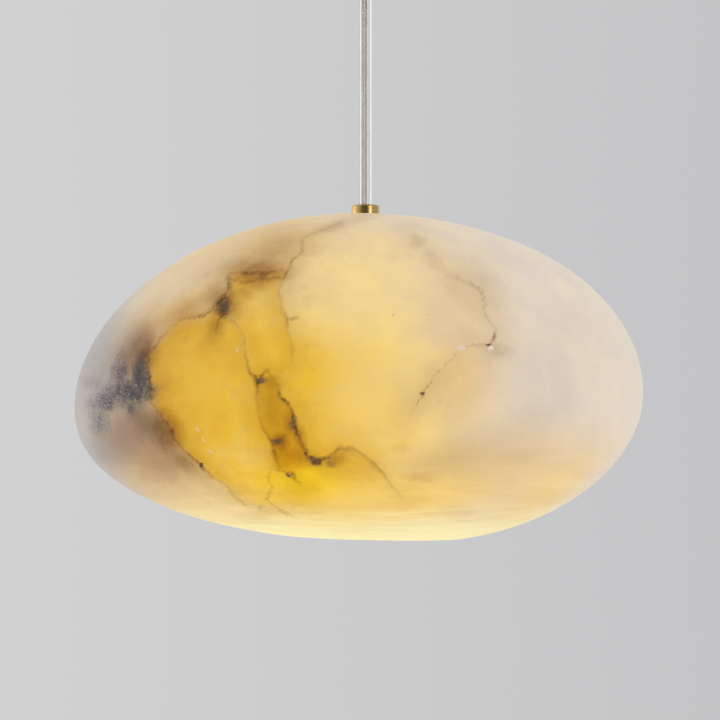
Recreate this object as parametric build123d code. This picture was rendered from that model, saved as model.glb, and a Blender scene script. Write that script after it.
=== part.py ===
from build123d import *
import os
from math import cos, radians, sin, sqrt, tan

# Pendant light: a hollow alabaster pebble on a clear cord, with its ceiling fitting and lamps.
# Millimetres. The origin is on the ceiling, +Z is up, -Y is the front and +X is to the right of the viewer.

# Clearances
FREE_GAP = 0.3
THREAD_GAP = 0.05
SCREW_GAP = 0.25
CORE_GAP = 0.02
OVERCUT = 1.0

# Ceiling bracket and canopy
CANOPY_RADIUS = 50.0
CANOPY_HEIGHT = 30.0
CANOPY_WALL = 1.2
CANOPY_CORNER = 5.0
BRACKET_WIDTH = 18.0
BRACKET_THICKNESS = 2.0
BRACKET_TAB = 15.0
BRACKET_BEND = 3.0
CEILING_SLOT_SPACING = 70.0
CEILING_SLOT_LENGTH = 12.0
CEILING_SLOT_WIDTH = 5.0
CANOPY_SCREW_RADIUS = 2.0
CANOPY_SCREW_DROP = 10.0
CANOPY_SCREW_TIP = 3.0
THUMB_HEAD_RADIUS = 4.5
THUMB_HEAD_LENGTH = 5.0
THUMB_HEAD_EDGE = 0.5
THUMB_NOTCH_COUNT = 20
THUMB_NOTCH_RADIUS = 0.4
EARTH_X = -14.0
EARTH_SCREW_RADIUS = 2.0
EARTH_HEAD_RADIUS = 3.8
EARTH_HEAD_HEIGHT = 2.4
EARTH_WASHER_RADIUS = 4.5
EARTH_WASHER_HEIGHT = 1.0
SCREW_SLOT = 0.8

# Terminal block under the bracket
TERMINAL_X = 14.0
TERMINAL_LENGTH = 18.0
TERMINAL_DEPTH = 16.0
TERMINAL_HEIGHT = 12.0
TERMINAL_EDGE = 1.0
TERMINAL_POLE_PITCH = 9.6
BARREL_RADIUS = 2.5
BARREL_BORE = 1.6
BARREL_RECESS = 1.0
TERMINAL_SCREW_RADIUS = 1.25
TERMINAL_SCREW_REACH = 4.0
TERMINAL_SCREW_RECESS = 1.0
FIXING_SCREW_RADIUS = 1.5
FIXING_HEAD_RADIUS = 1.9
FIXING_HEAD_HEIGHT = 2.0

# Gland with its bush, in which the cord's ball swings
SWING_LIMIT = 15.0
SWING_BELOW_CANOPY = 1.0
BALL_RADIUS = 5.0
BALL_HALF_HEIGHT = 3.4
BUSH_RADIUS = 8.0
GLAND_STEM_RADIUS = 10.0
GLAND_STEM_HEIGHT = 9.0
GLAND_FLANGE_RADIUS = 13.5
GLAND_FLANGE_HEIGHT = 2.5
GLAND_NOSE_LENGTH = 11.0
GLAND_NOSE_TOP_RADIUS = 11.5
GLAND_NOSE_TIP_RADIUS = 10.2
GLAND_WASHER_RADIUS = 14.5
GLAND_WASHER_HEIGHT = 1.0
GLAND_NUT_FLATS = 27.0
GLAND_NUT_HEIGHT = 5.0

# Cord
CORD_RADIUS = 3.2
CORD_FREE_LENGTH = 115.0
CORE_RADIUS = 0.5
CORE_PITCH = 1.06
CORE_OFFSET = -0.4
TAIL_RADIUS = 1.1
TAIL_BEND = 4.0
TAIL_SPREAD = 1.3
TAIL_SIDE_ANGLE = 41.0
TAIL_CLEARANCE = 2.0
TAIL_DEPTH_IN_BARREL = 4.0

# Cap and threaded nipple
CAP_RADIUS = 7.4
CAP_HEIGHT = 5.6
CAP_EDGE = 0.9
CAP_TOP_WALL = 2.0
CAP_SCREW_RADIUS = 1.2
CAP_SCREW_RECESS = 0.3
CAP_GASKET_RADIUS = 7.0
CAP_GASKET_HEIGHT = 0.4
NIPPLE_RADIUS = 5.0
NIPPLE_IN_CAP = 3.4
NIPPLE_PAST_NUT = 1.5

# Shade: the front outline in four quarters between the apex, two side tips and the nadir
SHADE_LEFT_REACH = 153.4
SHADE_RIGHT_REACH = 146.4
SHADE_APEX_OFFSET = -7.0
SHADE_NADIR_OFFSET = 31.8
SHADE_APEX_RISE = 1.0
SHADE_LEFT_TIP_DROP = 100.7
SHADE_RIGHT_TIP_DROP = 94.5
SHADE_NADIR_DROP = 172.3
SHADE_LEFT_TOP_POWER = 1.9
SHADE_RIGHT_TOP_POWER = 2.08
SHADE_LEFT_BOTTOM_POWER = 2.3
SHADE_RIGHT_BOTTOM_POWER = 1.9
SHADE_DEPTH_RATIO = 0.84
SHADE_WALL = 11.0
SHADE_HOLLOW_SHIFT = -0.85
SHADE_OPENING_RADIUS = 55.0
SHADE_RIM_ROUND = 2.0
SHADE_END_TRIM = 0.7
SHADE_SECTIONS = 13

# Stack under the top of the stone
INNER_GASKET_RADIUS = 18.0
INNER_GASKET_HEIGHT = 2.0
SPREADER_RADIUS = 19.0
SPREADER_HEIGHT = 2.0
SPREADER_GAP = 1.0
STACK_NUT_FLATS = 17.0
STACK_NUT_HEIGHT = 5.0
CARRIER_THICKNESS = 1.5
CARRIER_HUB_RADIUS = 14.0
CARRIER_LOBE_RADIUS = 10.0
CARRIER_ARM_WIDTH = 12.0
FERRULE_RADIUS = 4.8
FERRULE_LENGTH = 8.0
CORD_PAST_FERRULE = 1.0

# Junction puck and lamp leads
PUCK_RADIUS = 8.0
PUCK_HEIGHT = 10.0
PUCK_EDGE = 1.0
PUCK_GAP = 0.7
LEAD_RADIUS = 0.8
LEAD_SPREAD = 3.0
LEAD_BEND = 3.0
LEAD_DEPTH = 3.0
LEAD_HOLE_GAP = 0.2

# Lamps and their holders
LAMP_COUNT = 3
LAMP_FIRST_ANGLE = 90.0
LAMP_CIRCLE = 30.0
HOLDER_RADIUS = 9.0
HOLDER_HEIGHT = 22.0
HOLDER_EDGE = 0.8
HOLDER_LEAD_DROP = 10.0
HOLDER_SCREW_RADIUS = 1.5
HOLDER_SCREW_PITCH = 11.0
HOLDER_SCREW_DEPTH = 7.0
HOLDER_HEAD_RADIUS = 2.6
HOLDER_HEAD_HEIGHT = 2.0
HOLDER_HEAD_EDGE = 0.6
PIN_PITCH = 9.0
PIN_LOOP_RADIUS = 1.3
PIN_WIRE_RADIUS = 0.5
PIN_LENGTH = 15.0
POCKET_WIDTH = 4.8
POCKET_DEPTH = 16.5
POCKET_THICKNESS = 2.8
CONTACT_THICKNESS = 0.4
CONTACT_WIDTH = 3.0
CONTACT_LENGTH = 11.0
BASE_RADIUS = 7.6
BASE_HEIGHT = 11.0
BASE_EDGE = 0.8
ENVELOPE_RADIUS = 8.0
ENVELOPE_LENGTH = 44.0
ENVELOPE_WALL = 1.0
STICK_RADIUS = 3.0
STICK_LENGTH = 32.0

# Heights that follow from the sizes above
CANOPY_FLOOR = CANOPY_WALL - CANOPY_HEIGHT
SWING_Z = -CANOPY_HEIGHT - SWING_BELOW_CANOPY
GLAND_TIP_Z = SWING_Z - GLAND_NOSE_LENGTH
CAP_TOP_Z = GLAND_TIP_Z - CORD_FREE_LENGTH
CAP_BASE_Z = CAP_TOP_Z - CAP_HEIGHT
SEAT_Z = CAP_BASE_Z - CAP_GASKET_HEIGHT
APEX_Z = SEAT_Z + SHADE_APEX_RISE
NADIR_Z = SEAT_Z - SHADE_NADIR_DROP
INNER_SEAT_Z = SEAT_Z - SHADE_WALL
SPREADER_TOP_Z = INNER_SEAT_Z - INNER_GASKET_HEIGHT
SHADE_NUT_TOP_Z = SPREADER_TOP_Z - SPREADER_HEIGHT
CARRIER_TOP_Z = SHADE_NUT_TOP_Z - STACK_NUT_HEIGHT
CARRIER_BASE_Z = CARRIER_TOP_Z - CARRIER_THICKNESS
CARRIER_NUT_BASE_Z = CARRIER_BASE_Z - STACK_NUT_HEIGHT
NIPPLE_BASE_Z = CARRIER_NUT_BASE_Z - NIPPLE_PAST_NUT
FERRULE_TOP_Z = NIPPLE_BASE_Z - FREE_GAP
FERRULE_BASE_Z = FERRULE_TOP_Z - FERRULE_LENGTH
CORD_BASE_Z = FERRULE_BASE_Z - CORD_PAST_FERRULE
PUCK_TOP_Z = CORD_BASE_Z - PUCK_GAP
PUCK_BASE_Z = PUCK_TOP_Z - PUCK_HEIGHT
PUCK_LEAD_Z = PUCK_TOP_Z - PUCK_HEIGHT / 2
PUCK_LEAD_REACH = sqrt(PUCK_RADIUS**2 - LEAD_SPREAD**2)
HOLDER_BASE_Z = CARRIER_BASE_Z - HOLDER_HEIGHT
HOLDER_LEAD_Z = CARRIER_BASE_Z - HOLDER_LEAD_DROP
BASE_TOP_Z = HOLDER_BASE_Z - FREE_GAP
BASE_LOW_Z = BASE_TOP_Z - BASE_HEIGHT
LAMP_ANGLES = [LAMP_FIRST_ANGLE + 360.0 * index / LAMP_COUNT for index in range(LAMP_COUNT)]


# Shared forms

def rod(radius, low, high, x=0.0, y=0.0):
    """A round bar along Z between two heights."""
    return Pos(x, y, (low + high) / 2) * Cylinder(radius, high - low)


def ring(radius, bore, low, high):
    """A round bar along Z with a bore."""
    return rod(radius, low, high) - rod(bore, low - OVERCUT, high + OVERCUT)


def hex_nut(flats, bore, low, high):
    """A six-sided nut with chamfered corners and a bore."""
    height = high - low
    prism = extrude(Pos(0, 0, low) * RegularPolygon(flats / 2, 6, major_radius=False), height)
    corner_cut = Pos(0, 0, low + height / 2) * Cone(flats / 2, flats / 2 + height, height)
    return (prism & corner_cut) - rod(bore, low - OVERCUT, high + OVERCUT)


def turned(points):
    """A body turned about Z from a closed outline of radius and height pairs."""
    outline = [(radius, 0.0, height) for radius, height in points]
    return revolve(make_face(Polyline(*outline, close=True)), Axis.Z)


def wire_along(points, radius, bend):
    """A round wire along straight runs joined by tangent arcs."""
    path = FilletPolyline(*points, radius=bend)
    start = Plane(origin=path @ 0, z_dir=path % 0)
    return sweep(start * Circle(radius), path=path)


def around_lamps(body):
    """One copy of a body at each lamp place; the body is drawn at angle zero."""
    return [Rot(0, 0, angle) * body for angle in LAMP_ANGLES]


def at_each_lamp(bodies):
    """A group with a copy of every body at each lamp place."""
    return Compound(children=[copy for body in bodies for copy in around_lamps(body)])


# Ceiling fitting

TAB_REACH = sqrt((CANOPY_RADIUS - CANOPY_WALL - FREE_GAP) ** 2 - (BRACKET_WIDTH / 2) ** 2)
TAB_INNER = TAB_REACH - BRACKET_THICKNESS
BARREL_Z = -BRACKET_THICKNESS - TERMINAL_HEIGHT / 2
TERMINAL_BASE_Z = -BRACKET_THICKNESS - TERMINAL_HEIGHT
POLE_XS = [TERMINAL_X - TERMINAL_POLE_PITCH / 2, TERMINAL_X + TERMINAL_POLE_PITCH / 2]
SCREW_YS = [-TERMINAL_SCREW_REACH, TERMINAL_SCREW_REACH]


def along_x(radius, start, end, z):
    """A round bar along X between two places."""
    return Pos((start + end) / 2, 0, z) * Rot(0, 90, 0) * Cylinder(radius, abs(end - start))


def make_bracket():
    """The strap with turned-down tabs, its ceiling slots and its screw holes."""
    block = Pos(0, 0, -BRACKET_TAB / 2) * Box(2 * TAB_REACH, BRACKET_WIDTH, BRACKET_TAB)
    block = fillet(block.edges().filter_by(Axis.Y).group_by(Axis.Z)[-1], BRACKET_BEND)
    inside = Pos(0, 0, -BRACKET_TAB / 2 - BRACKET_THICKNESS) * Box(2 * TAB_INNER, BRACKET_WIDTH, BRACKET_TAB)
    inside = fillet(inside.edges().filter_by(Axis.Y).group_by(Axis.Z)[-1], BRACKET_BEND - BRACKET_THICKNESS)
    strap = block - inside
    for side in (-1, 1):
        slot = SlotOverall(CEILING_SLOT_LENGTH, CEILING_SLOT_WIDTH)
        strap -= extrude(Pos(side * CEILING_SLOT_SPACING / 2, 0, 0) * slot, BRACKET_THICKNESS, both=True)
        hole = CANOPY_SCREW_RADIUS + THREAD_GAP
        strap -= along_x(hole, side * (TAB_INNER - OVERCUT), side * (TAB_REACH + OVERCUT), -CANOPY_SCREW_DROP)
    strap -= rod(EARTH_SCREW_RADIUS + THREAD_GAP, -2 * BRACKET_THICKNESS, OVERCUT, EARTH_X)
    strap -= rod(FIXING_SCREW_RADIUS + THREAD_GAP, -2 * BRACKET_THICKNESS, OVERCUT, TERMINAL_X)
    return strap


def make_canopy():
    """The cup that covers the bracket, with its gland hole and side screw holes."""
    outer = rod(CANOPY_RADIUS, -CANOPY_HEIGHT, 0)
    outer = fillet(outer.edges().group_by(Axis.Z)[0], CANOPY_CORNER)
    inner = rod(CANOPY_RADIUS - CANOPY_WALL, CANOPY_FLOOR, OVERCUT)
    inner = fillet(inner.edges().group_by(Axis.Z)[0], CANOPY_CORNER - CANOPY_WALL)
    cup = outer - inner
    cup -= rod(GLAND_STEM_RADIUS + FREE_GAP, -CANOPY_HEIGHT - OVERCUT, 0)
    hole_reach = CANOPY_RADIUS + OVERCUT
    return cup - along_x(CANOPY_SCREW_RADIUS + SCREW_GAP, -hole_reach, hole_reach, -CANOPY_SCREW_DROP)


def make_canopy_screws():
    """Two thumb screws through the canopy's side into the bracket's tabs."""
    head_start = CANOPY_RADIUS + THREAD_GAP
    head_end = head_start + THUMB_HEAD_LENGTH
    screw = along_x(CANOPY_SCREW_RADIUS, TAB_INNER - CANOPY_SCREW_TIP, head_end - OVERCUT, -CANOPY_SCREW_DROP)
    head = along_x(THUMB_HEAD_RADIUS, head_start, head_end, -CANOPY_SCREW_DROP)
    head = chamfer(head.edges().filter_by(GeomType.CIRCLE), THUMB_HEAD_EDGE)
    for index in range(THUMB_NOTCH_COUNT):
        angle = radians(360.0 * index / THUMB_NOTCH_COUNT)
        y, z = THUMB_HEAD_RADIUS * cos(angle), THUMB_HEAD_RADIUS * sin(angle) - CANOPY_SCREW_DROP
        head -= Pos(0, y, 0) * along_x(THUMB_NOTCH_RADIUS, head_start - OVERCUT, head_end + OVERCUT, z)
    screw += head
    return Compound(children=[screw, Rot(0, 0, 180) * screw])


def make_terminal_block():
    """The insulating block with two barrel bores, screw wells and a fixing hole."""
    block = Pos(TERMINAL_X, 0, BARREL_Z) * Box(TERMINAL_LENGTH, TERMINAL_DEPTH, TERMINAL_HEIGHT)
    block = fillet(block.edges().filter_by(Axis.Z), TERMINAL_EDGE)
    for x in POLE_XS:
        bore = Cylinder(BARREL_RADIUS + CORE_GAP, TERMINAL_DEPTH + 2 * OVERCUT)
        block -= Pos(x, 0, BARREL_Z) * Rot(90, 0, 0) * bore
        for y in SCREW_YS:
            block -= rod(TERMINAL_SCREW_RADIUS + SCREW_GAP, TERMINAL_BASE_Z - OVERCUT, BARREL_Z, x, y)
    block -= rod(FIXING_SCREW_RADIUS + THREAD_GAP, TERMINAL_BASE_Z - OVERCUT, 0, TERMINAL_X)
    head_top = TERMINAL_BASE_Z + FIXING_HEAD_HEIGHT
    return block - rod(FIXING_HEAD_RADIUS + THREAD_GAP, TERMINAL_BASE_Z - OVERCUT, head_top, TERMINAL_X)


def make_terminal_barrels():
    """Two brass barrels that take the wires."""
    barrels = []
    for x in POLE_XS:
        barrel = Cylinder(BARREL_RADIUS, TERMINAL_DEPTH - 2 * BARREL_RECESS)
        barrel -= Cylinder(BARREL_BORE, TERMINAL_DEPTH)
        barrel = Pos(x, 0, BARREL_Z) * Rot(90, 0, 0) * barrel
        for y in SCREW_YS:
            barrel -= rod(TERMINAL_SCREW_RADIUS + THREAD_GAP, TERMINAL_BASE_Z, BARREL_Z, x, y)
        barrels.append(barrel)
    return Compound(children=barrels)


def slotted_screw(radius, low, high, x, y):
    """A headless screw with a slot in its lower end."""
    screw = rod(radius, low, high, x, y)
    return screw - Pos(x, y, low) * Box(4 * radius, SCREW_SLOT, 2 * SCREW_SLOT)


def make_terminal_screws():
    """Four headless screws that press on the wires."""
    low, high = TERMINAL_BASE_Z + TERMINAL_SCREW_RECESS, BARREL_Z - BARREL_BORE
    screws = [slotted_screw(TERMINAL_SCREW_RADIUS, low, high, x, y) for x in POLE_XS for y in SCREW_YS]
    return Compound(children=screws)


def make_terminal_fixing():
    """The screw that holds the block under the bracket."""
    head_low, head_high = TERMINAL_BASE_Z, TERMINAL_BASE_Z + FIXING_HEAD_HEIGHT
    screw = rod(FIXING_HEAD_RADIUS, head_low, head_high, TERMINAL_X)
    screw += rod(FIXING_SCREW_RADIUS, head_low, -BRACKET_THICKNESS / 2, TERMINAL_X)
    return screw - Pos(TERMINAL_X, 0, head_low) * Box(4 * FIXING_HEAD_RADIUS, SCREW_SLOT, 2 * SCREW_SLOT)


def make_earth_washer():
    """The cupped washer of the earth terminal."""
    top = -BRACKET_THICKNESS
    washer = ring(EARTH_WASHER_RADIUS, EARTH_SCREW_RADIUS + SCREW_GAP, top - EARTH_WASHER_HEIGHT, top)
    return Pos(EARTH_X, 0, 0) * washer


def make_earth_screw():
    """The pan-head screw of the earth terminal."""
    head_top = -BRACKET_THICKNESS - EARTH_WASHER_HEIGHT
    head_base = head_top - EARTH_HEAD_HEIGHT
    head = rod(EARTH_HEAD_RADIUS, head_base, head_top, EARTH_X)
    head = fillet(head.edges().filter_by(GeomType.CIRCLE).group_by(Axis.Z)[0], EARTH_HEAD_HEIGHT / 3)
    screw = head + rod(EARTH_SCREW_RADIUS, head_top, -BRACKET_THICKNESS / 4, EARTH_X)
    return screw - Pos(EARTH_X, 0, head_base) * Box(4 * EARTH_HEAD_RADIUS, SCREW_SLOT, 2 * SCREW_SLOT)


# Gland, bush and cord

BALL_SEAT = BALL_RADIUS + FREE_GAP
BUSH_SEAT = BUSH_RADIUS + FREE_GAP
CORNER_TILT = 2 * SWING_LIMIT / sqrt(2)
STEM_TOP_Z = -CANOPY_HEIGHT + GLAND_STEM_HEIGHT
TAIL_START_Z = SWING_Z + BALL_SEAT + FREE_GAP


def mouth(tilt, length):
    """The cone below the swing point that clears the cord at the given tilt."""
    throat = CORD_RADIUS / cos(radians(tilt)) + FREE_GAP
    flare = throat + length * tan(radians(tilt))
    return turned([(0, SWING_Z), (throat, SWING_Z), (flare, SWING_Z - length), (0, SWING_Z - length)])


def make_gland_body():
    """The brass gland: a stem through the canopy, a ball seat and a flared nose."""
    flange_base = -CANOPY_HEIGHT - GLAND_FLANGE_HEIGHT
    body = turned([
        (0, STEM_TOP_Z),
        (GLAND_STEM_RADIUS, STEM_TOP_Z),
        (GLAND_STEM_RADIUS, -CANOPY_HEIGHT),
        (GLAND_FLANGE_RADIUS, -CANOPY_HEIGHT),
        (GLAND_FLANGE_RADIUS, flange_base),
        (GLAND_NOSE_TOP_RADIUS, flange_base),
        (GLAND_NOSE_TIP_RADIUS, GLAND_TIP_Z),
        (0, GLAND_TIP_Z),
    ])
    body -= rod(BUSH_SEAT, SWING_Z, STEM_TOP_Z + OVERCUT)
    body -= Pos(0, 0, SWING_Z) * Sphere(BUSH_SEAT)
    return body - mouth(CORNER_TILT, GLAND_NOSE_LENGTH + OVERCUT)


def make_gland_bush():
    """The nylon bowl between gland and ball, round inside and out."""
    bowl = Pos(0, 0, SWING_Z) * (Sphere(BUSH_RADIUS) - Sphere(BALL_SEAT))
    bowl -= rod(2 * BUSH_RADIUS, SWING_Z, SWING_Z + 2 * BUSH_RADIUS)
    return bowl - mouth(SWING_LIMIT, 2 * BUSH_RADIUS)


def make_cord_stop():
    """The brass ball crimped on the cord."""
    ball = Pos(0, 0, SWING_Z) * Sphere(BALL_RADIUS)
    ball &= rod(2 * BALL_RADIUS, SWING_Z - BALL_HALF_HEIGHT, SWING_Z + BALL_HALF_HEIGHT)
    return ball - rod(CORD_RADIUS + CORE_GAP, SWING_Z - BALL_RADIUS, SWING_Z + BALL_RADIUS)


CORD_TOP_Z = SWING_Z + BALL_HALF_HEIGHT
CORE_XS = {"live_core": CORE_OFFSET - CORE_PITCH / 2, "neutral_core": CORE_OFFSET + CORE_PITCH / 2}


def make_cord_jacket():
    """The clear jacket with a bore for each core."""
    jacket = rod(CORD_RADIUS, CORD_BASE_Z, CORD_TOP_Z)
    for x in CORE_XS.values():
        jacket -= rod(CORE_RADIUS + CORE_GAP, CORD_BASE_Z - OVERCUT, CORD_TOP_Z + OVERCUT, x)
    return jacket


def make_cord_tails():
    """The two insulated wires from the gland, out under the terminal block and up into its barrels."""
    tails = []
    entry_y = -TERMINAL_DEPTH / 2 + BARREL_RECESS + TAIL_DEPTH_IN_BARREL
    turn_y = -TERMINAL_DEPTH / 2 - 2 * TAIL_BEND
    run_z = TERMINAL_BASE_Z - TAIL_RADIUS - TAIL_CLEARANCE
    side_x, side_y = TAIL_SPREAD * cos(radians(TAIL_SIDE_ANGLE)), TAIL_SPREAD * sin(radians(TAIL_SIDE_ANGLE))
    for pole_x, side in zip(POLE_XS, (-1, 1)):
        points = [
            (side * side_x, side * side_y, TAIL_START_Z),
            (side * side_x, side * side_y, run_z),
            (pole_x, turn_y, run_z),
            (pole_x, turn_y, BARREL_Z),
            (pole_x, entry_y, BARREL_Z),
        ]
        tails.append(wire_along(points, TAIL_RADIUS, TAIL_BEND))
    return Compound(children=tails)


# Cap, nipple and the stack that carries the stone

NIPPLE_BORE = CORD_RADIUS + FREE_GAP
CAP_SOCKET = NIPPLE_RADIUS + THREAD_GAP
STONE_HOLE = NIPPLE_RADIUS + FREE_GAP
CAP_SOCKET_TOP_Z = CAP_TOP_Z - CAP_TOP_WALL
CAP_SCREW_Z = (CAP_BASE_Z + CAP_SOCKET_TOP_Z) / 2


def along_y(radius, start, end, z):
    """A round bar along Y between two places."""
    return Pos(0, (start + end) / 2, z) * Rot(90, 0, 0) * Cylinder(radius, abs(end - start))


def make_cap():
    """The brass cap with its socket for the nipple and a side hole for its screw."""
    cap = rod(CAP_RADIUS, CAP_BASE_Z, CAP_TOP_Z)
    cap = fillet(cap.edges().group_by(Axis.Z)[-1], CAP_EDGE)
    cap -= rod(NIPPLE_BORE, CAP_BASE_Z - OVERCUT, CAP_TOP_Z + OVERCUT)
    cap -= rod(CAP_SOCKET, CAP_BASE_Z - OVERCUT, CAP_SOCKET_TOP_Z)
    hole_start, hole_end = NIPPLE_RADIUS - OVERCUT, CAP_RADIUS + OVERCUT
    return cap - along_y(CAP_SCREW_RADIUS + THREAD_GAP, hole_start, hole_end, CAP_SCREW_Z)


def make_cap_screw():
    """The headless screw that locks the cap on the nipple, at the back."""
    end = CAP_RADIUS - CAP_SCREW_RECESS
    screw = along_y(CAP_SCREW_RADIUS, CAP_SOCKET, end, CAP_SCREW_Z)
    return screw - Pos(0, end, CAP_SCREW_Z) * Box(4 * CAP_SCREW_RADIUS, 2 * SCREW_SLOT / 3, SCREW_SLOT / 2)


def make_carrier():
    """The three-armed plate that holds the lamp holders."""
    outline = Circle(CARRIER_HUB_RADIUS)
    for angle in LAMP_ANGLES:
        arm = Pos(LAMP_CIRCLE / 2, 0) * Rectangle(LAMP_CIRCLE, CARRIER_ARM_WIDTH)
        lobe = Pos(LAMP_CIRCLE, 0) * Circle(CARRIER_LOBE_RADIUS)
        outline += Rot(0, 0, angle) * (arm + lobe)
    plate = extrude(Pos(0, 0, CARRIER_BASE_Z) * outline, CARRIER_THICKNESS)
    hole_low, hole_high = CARRIER_BASE_Z - OVERCUT, CARRIER_TOP_Z + OVERCUT
    plate -= rod(NIPPLE_RADIUS + THREAD_GAP, hole_low, hole_high)
    screw_holes = holder_screw_pair(HOLDER_SCREW_RADIUS + SCREW_GAP, hole_low, hole_high)
    for hole_pair in around_lamps(screw_holes):
        plate -= hole_pair
    return plate


# Shade

def quarter(part, power):
    """The reach of a quarter outline at a part of its height, from one at the tip to zero at the pole."""
    return (1 - min(max(part, 0.0), 1.0) ** power) ** (1 / power)


def shade_sides(z, inset):
    """The left and right ends of the front outline at a height, moved inwards by an inset."""
    apex, nadir = APEX_Z - inset, NADIR_Z + inset
    left_tip, right_tip = SEAT_Z - SHADE_LEFT_TIP_DROP, SEAT_Z - SHADE_RIGHT_TIP_DROP
    left_reach, right_reach = inset - SHADE_LEFT_REACH, SHADE_RIGHT_REACH - inset
    if z > left_tip:
        left_pole = SHADE_APEX_OFFSET
        left_part = quarter((z - left_tip) / (apex - left_tip), SHADE_LEFT_TOP_POWER)
    else:
        left_pole = SHADE_NADIR_OFFSET
        left_part = quarter((left_tip - z) / (left_tip - nadir), SHADE_LEFT_BOTTOM_POWER)
    if z > right_tip:
        right_pole = SHADE_APEX_OFFSET
        right_part = quarter((z - right_tip) / (apex - right_tip), SHADE_RIGHT_TOP_POWER)
    else:
        right_pole = SHADE_NADIR_OFFSET
        right_part = quarter((right_tip - z) / (right_tip - nadir), SHADE_RIGHT_BOTTOM_POWER)
    left = left_pole + (left_reach - left_pole) * left_part
    right = right_pole + (right_reach - right_pole) * right_part
    return left, right


def pebble(inset, shift):
    """A smooth body through level oval sections, from the seat plane to just above the nadir."""
    top, bottom = SEAT_Z - inset, NADIR_Z + inset + SHADE_END_TRIM
    middle, half = (top + bottom) / 2, (top - bottom) / 2
    sections = []
    for index in range(SHADE_SECTIONS):
        z = middle - half * cos(radians(180.0 * index / (SHADE_SECTIONS - 1)))
        left, right = shade_sides(z, inset)
        half_width = (right - left) / 2
        section = Ellipse(half_width, SHADE_DEPTH_RATIO * half_width)
        sections.append(Pos((left + right) / 2 + shift, 0, z) * section)
    return loft(sections)


def make_shade():
    """The hollow stone with its nipple hole, inner seat and round opening below.

    The hollow lies a little to the left, which puts the stone's centre of mass under the cord.
    """
    stone = pebble(0.0, 0.0) - pebble(SHADE_WALL, SHADE_HOLLOW_SHIFT)
    stone -= rod(SPREADER_RADIUS + SPREADER_GAP, INNER_SEAT_Z - 2 * SPREADER_HEIGHT, INNER_SEAT_Z)
    stone -= rod(STONE_HOLE, INNER_SEAT_Z - OVERCUT, SEAT_Z + OVERCUT)
    stone -= rod(SHADE_OPENING_RADIUS, NADIR_Z - OVERCUT, NADIR_Z + 3 * SHADE_WALL)
    wall = stone.faces().filter_by(GeomType.CYLINDER).sort_by(SortBy.AREA)[-1]
    rim_edges = wall.edges().filter_by(lambda edge: edge.length > 4 * SHADE_OPENING_RADIUS)
    return fillet(rim_edges, SHADE_RIM_ROUND)


# Light

def holder_screw_pair(radius, low, high):
    """Two upright bars at the screw places of the holder at angle zero."""
    pair = [rod(radius, low, high, LAMP_CIRCLE + side * HOLDER_SCREW_PITCH / 2) for side in (-1, 1)]
    return pair[0] + pair[1]


def make_holder():
    """The ceramic holder at angle zero, with pin pockets, screw holes and lead holes."""
    holder = rod(HOLDER_RADIUS, HOLDER_BASE_Z, CARRIER_BASE_Z, LAMP_CIRCLE)
    holder = chamfer(holder.edges().group_by(Axis.Z)[0], HOLDER_EDGE)
    screw_floor = CARRIER_BASE_Z - HOLDER_SCREW_DEPTH - OVERCUT
    holder -= holder_screw_pair(HOLDER_SCREW_RADIUS + THREAD_GAP, screw_floor, CARRIER_BASE_Z + OVERCUT)
    pocket = Box(POCKET_THICKNESS, POCKET_WIDTH, POCKET_DEPTH)
    pocket_z = HOLDER_BASE_Z + POCKET_DEPTH / 2
    lead_x = LAMP_CIRCLE - HOLDER_RADIUS
    lead_hole = along_x(LEAD_RADIUS + LEAD_HOLE_GAP, lead_x - OVERCUT, lead_x + LEAD_DEPTH, HOLDER_LEAD_Z)
    for side in (-1, 1):
        holder -= Pos(LAMP_CIRCLE, side * PIN_PITCH / 2, pocket_z) * pocket
        holder -= Pos(0, side * LEAD_SPREAD, 0) * lead_hole
    return holder


def make_holder_contacts():
    """The two leaf contacts of the holder at angle zero."""
    x = LAMP_CIRCLE + (POCKET_THICKNESS - CONTACT_THICKNESS) / 2
    z = HOLDER_BASE_Z + POCKET_DEPTH - CONTACT_LENGTH / 2
    leaf = Box(CONTACT_THICKNESS, CONTACT_WIDTH, CONTACT_LENGTH)
    return [Pos(x, side * PIN_PITCH / 2, z) * leaf for side in (-1, 1)]


def make_holder_screw(side):
    """A pan-head screw through the carrier into the holder at angle zero."""
    x = LAMP_CIRCLE + side * HOLDER_SCREW_PITCH / 2
    head = rod(HOLDER_HEAD_RADIUS, CARRIER_TOP_Z, CARRIER_TOP_Z + HOLDER_HEAD_HEIGHT, x)
    head = fillet(head.edges().group_by(Axis.Z)[-1], HOLDER_HEAD_EDGE)
    screw = head + rod(HOLDER_SCREW_RADIUS, CARRIER_BASE_Z - HOLDER_SCREW_DEPTH, CARRIER_TOP_Z, x)
    slot = Pos(x, 0, CARRIER_TOP_Z + HOLDER_HEAD_HEIGHT) * Box(4 * HOLDER_HEAD_RADIUS, SCREW_SLOT, SCREW_SLOT)
    return screw - slot


def make_puck():
    """The round junction piece below the cord's end, with a hole for each lead."""
    puck = rod(PUCK_RADIUS, PUCK_BASE_Z, PUCK_TOP_Z)
    puck = fillet(puck.edges().filter_by(GeomType.CIRCLE), PUCK_EDGE)
    hole_start = PUCK_LEAD_REACH - LEAD_DEPTH
    hole = along_x(LEAD_RADIUS + LEAD_HOLE_GAP, hole_start, PUCK_RADIUS + OVERCUT, PUCK_LEAD_Z)
    for angle in LAMP_ANGLES:
        for side in (-1, 1):
            puck -= Rot(0, 0, angle) * Pos(0, side * LEAD_SPREAD, 0) * hole
    return puck


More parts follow.
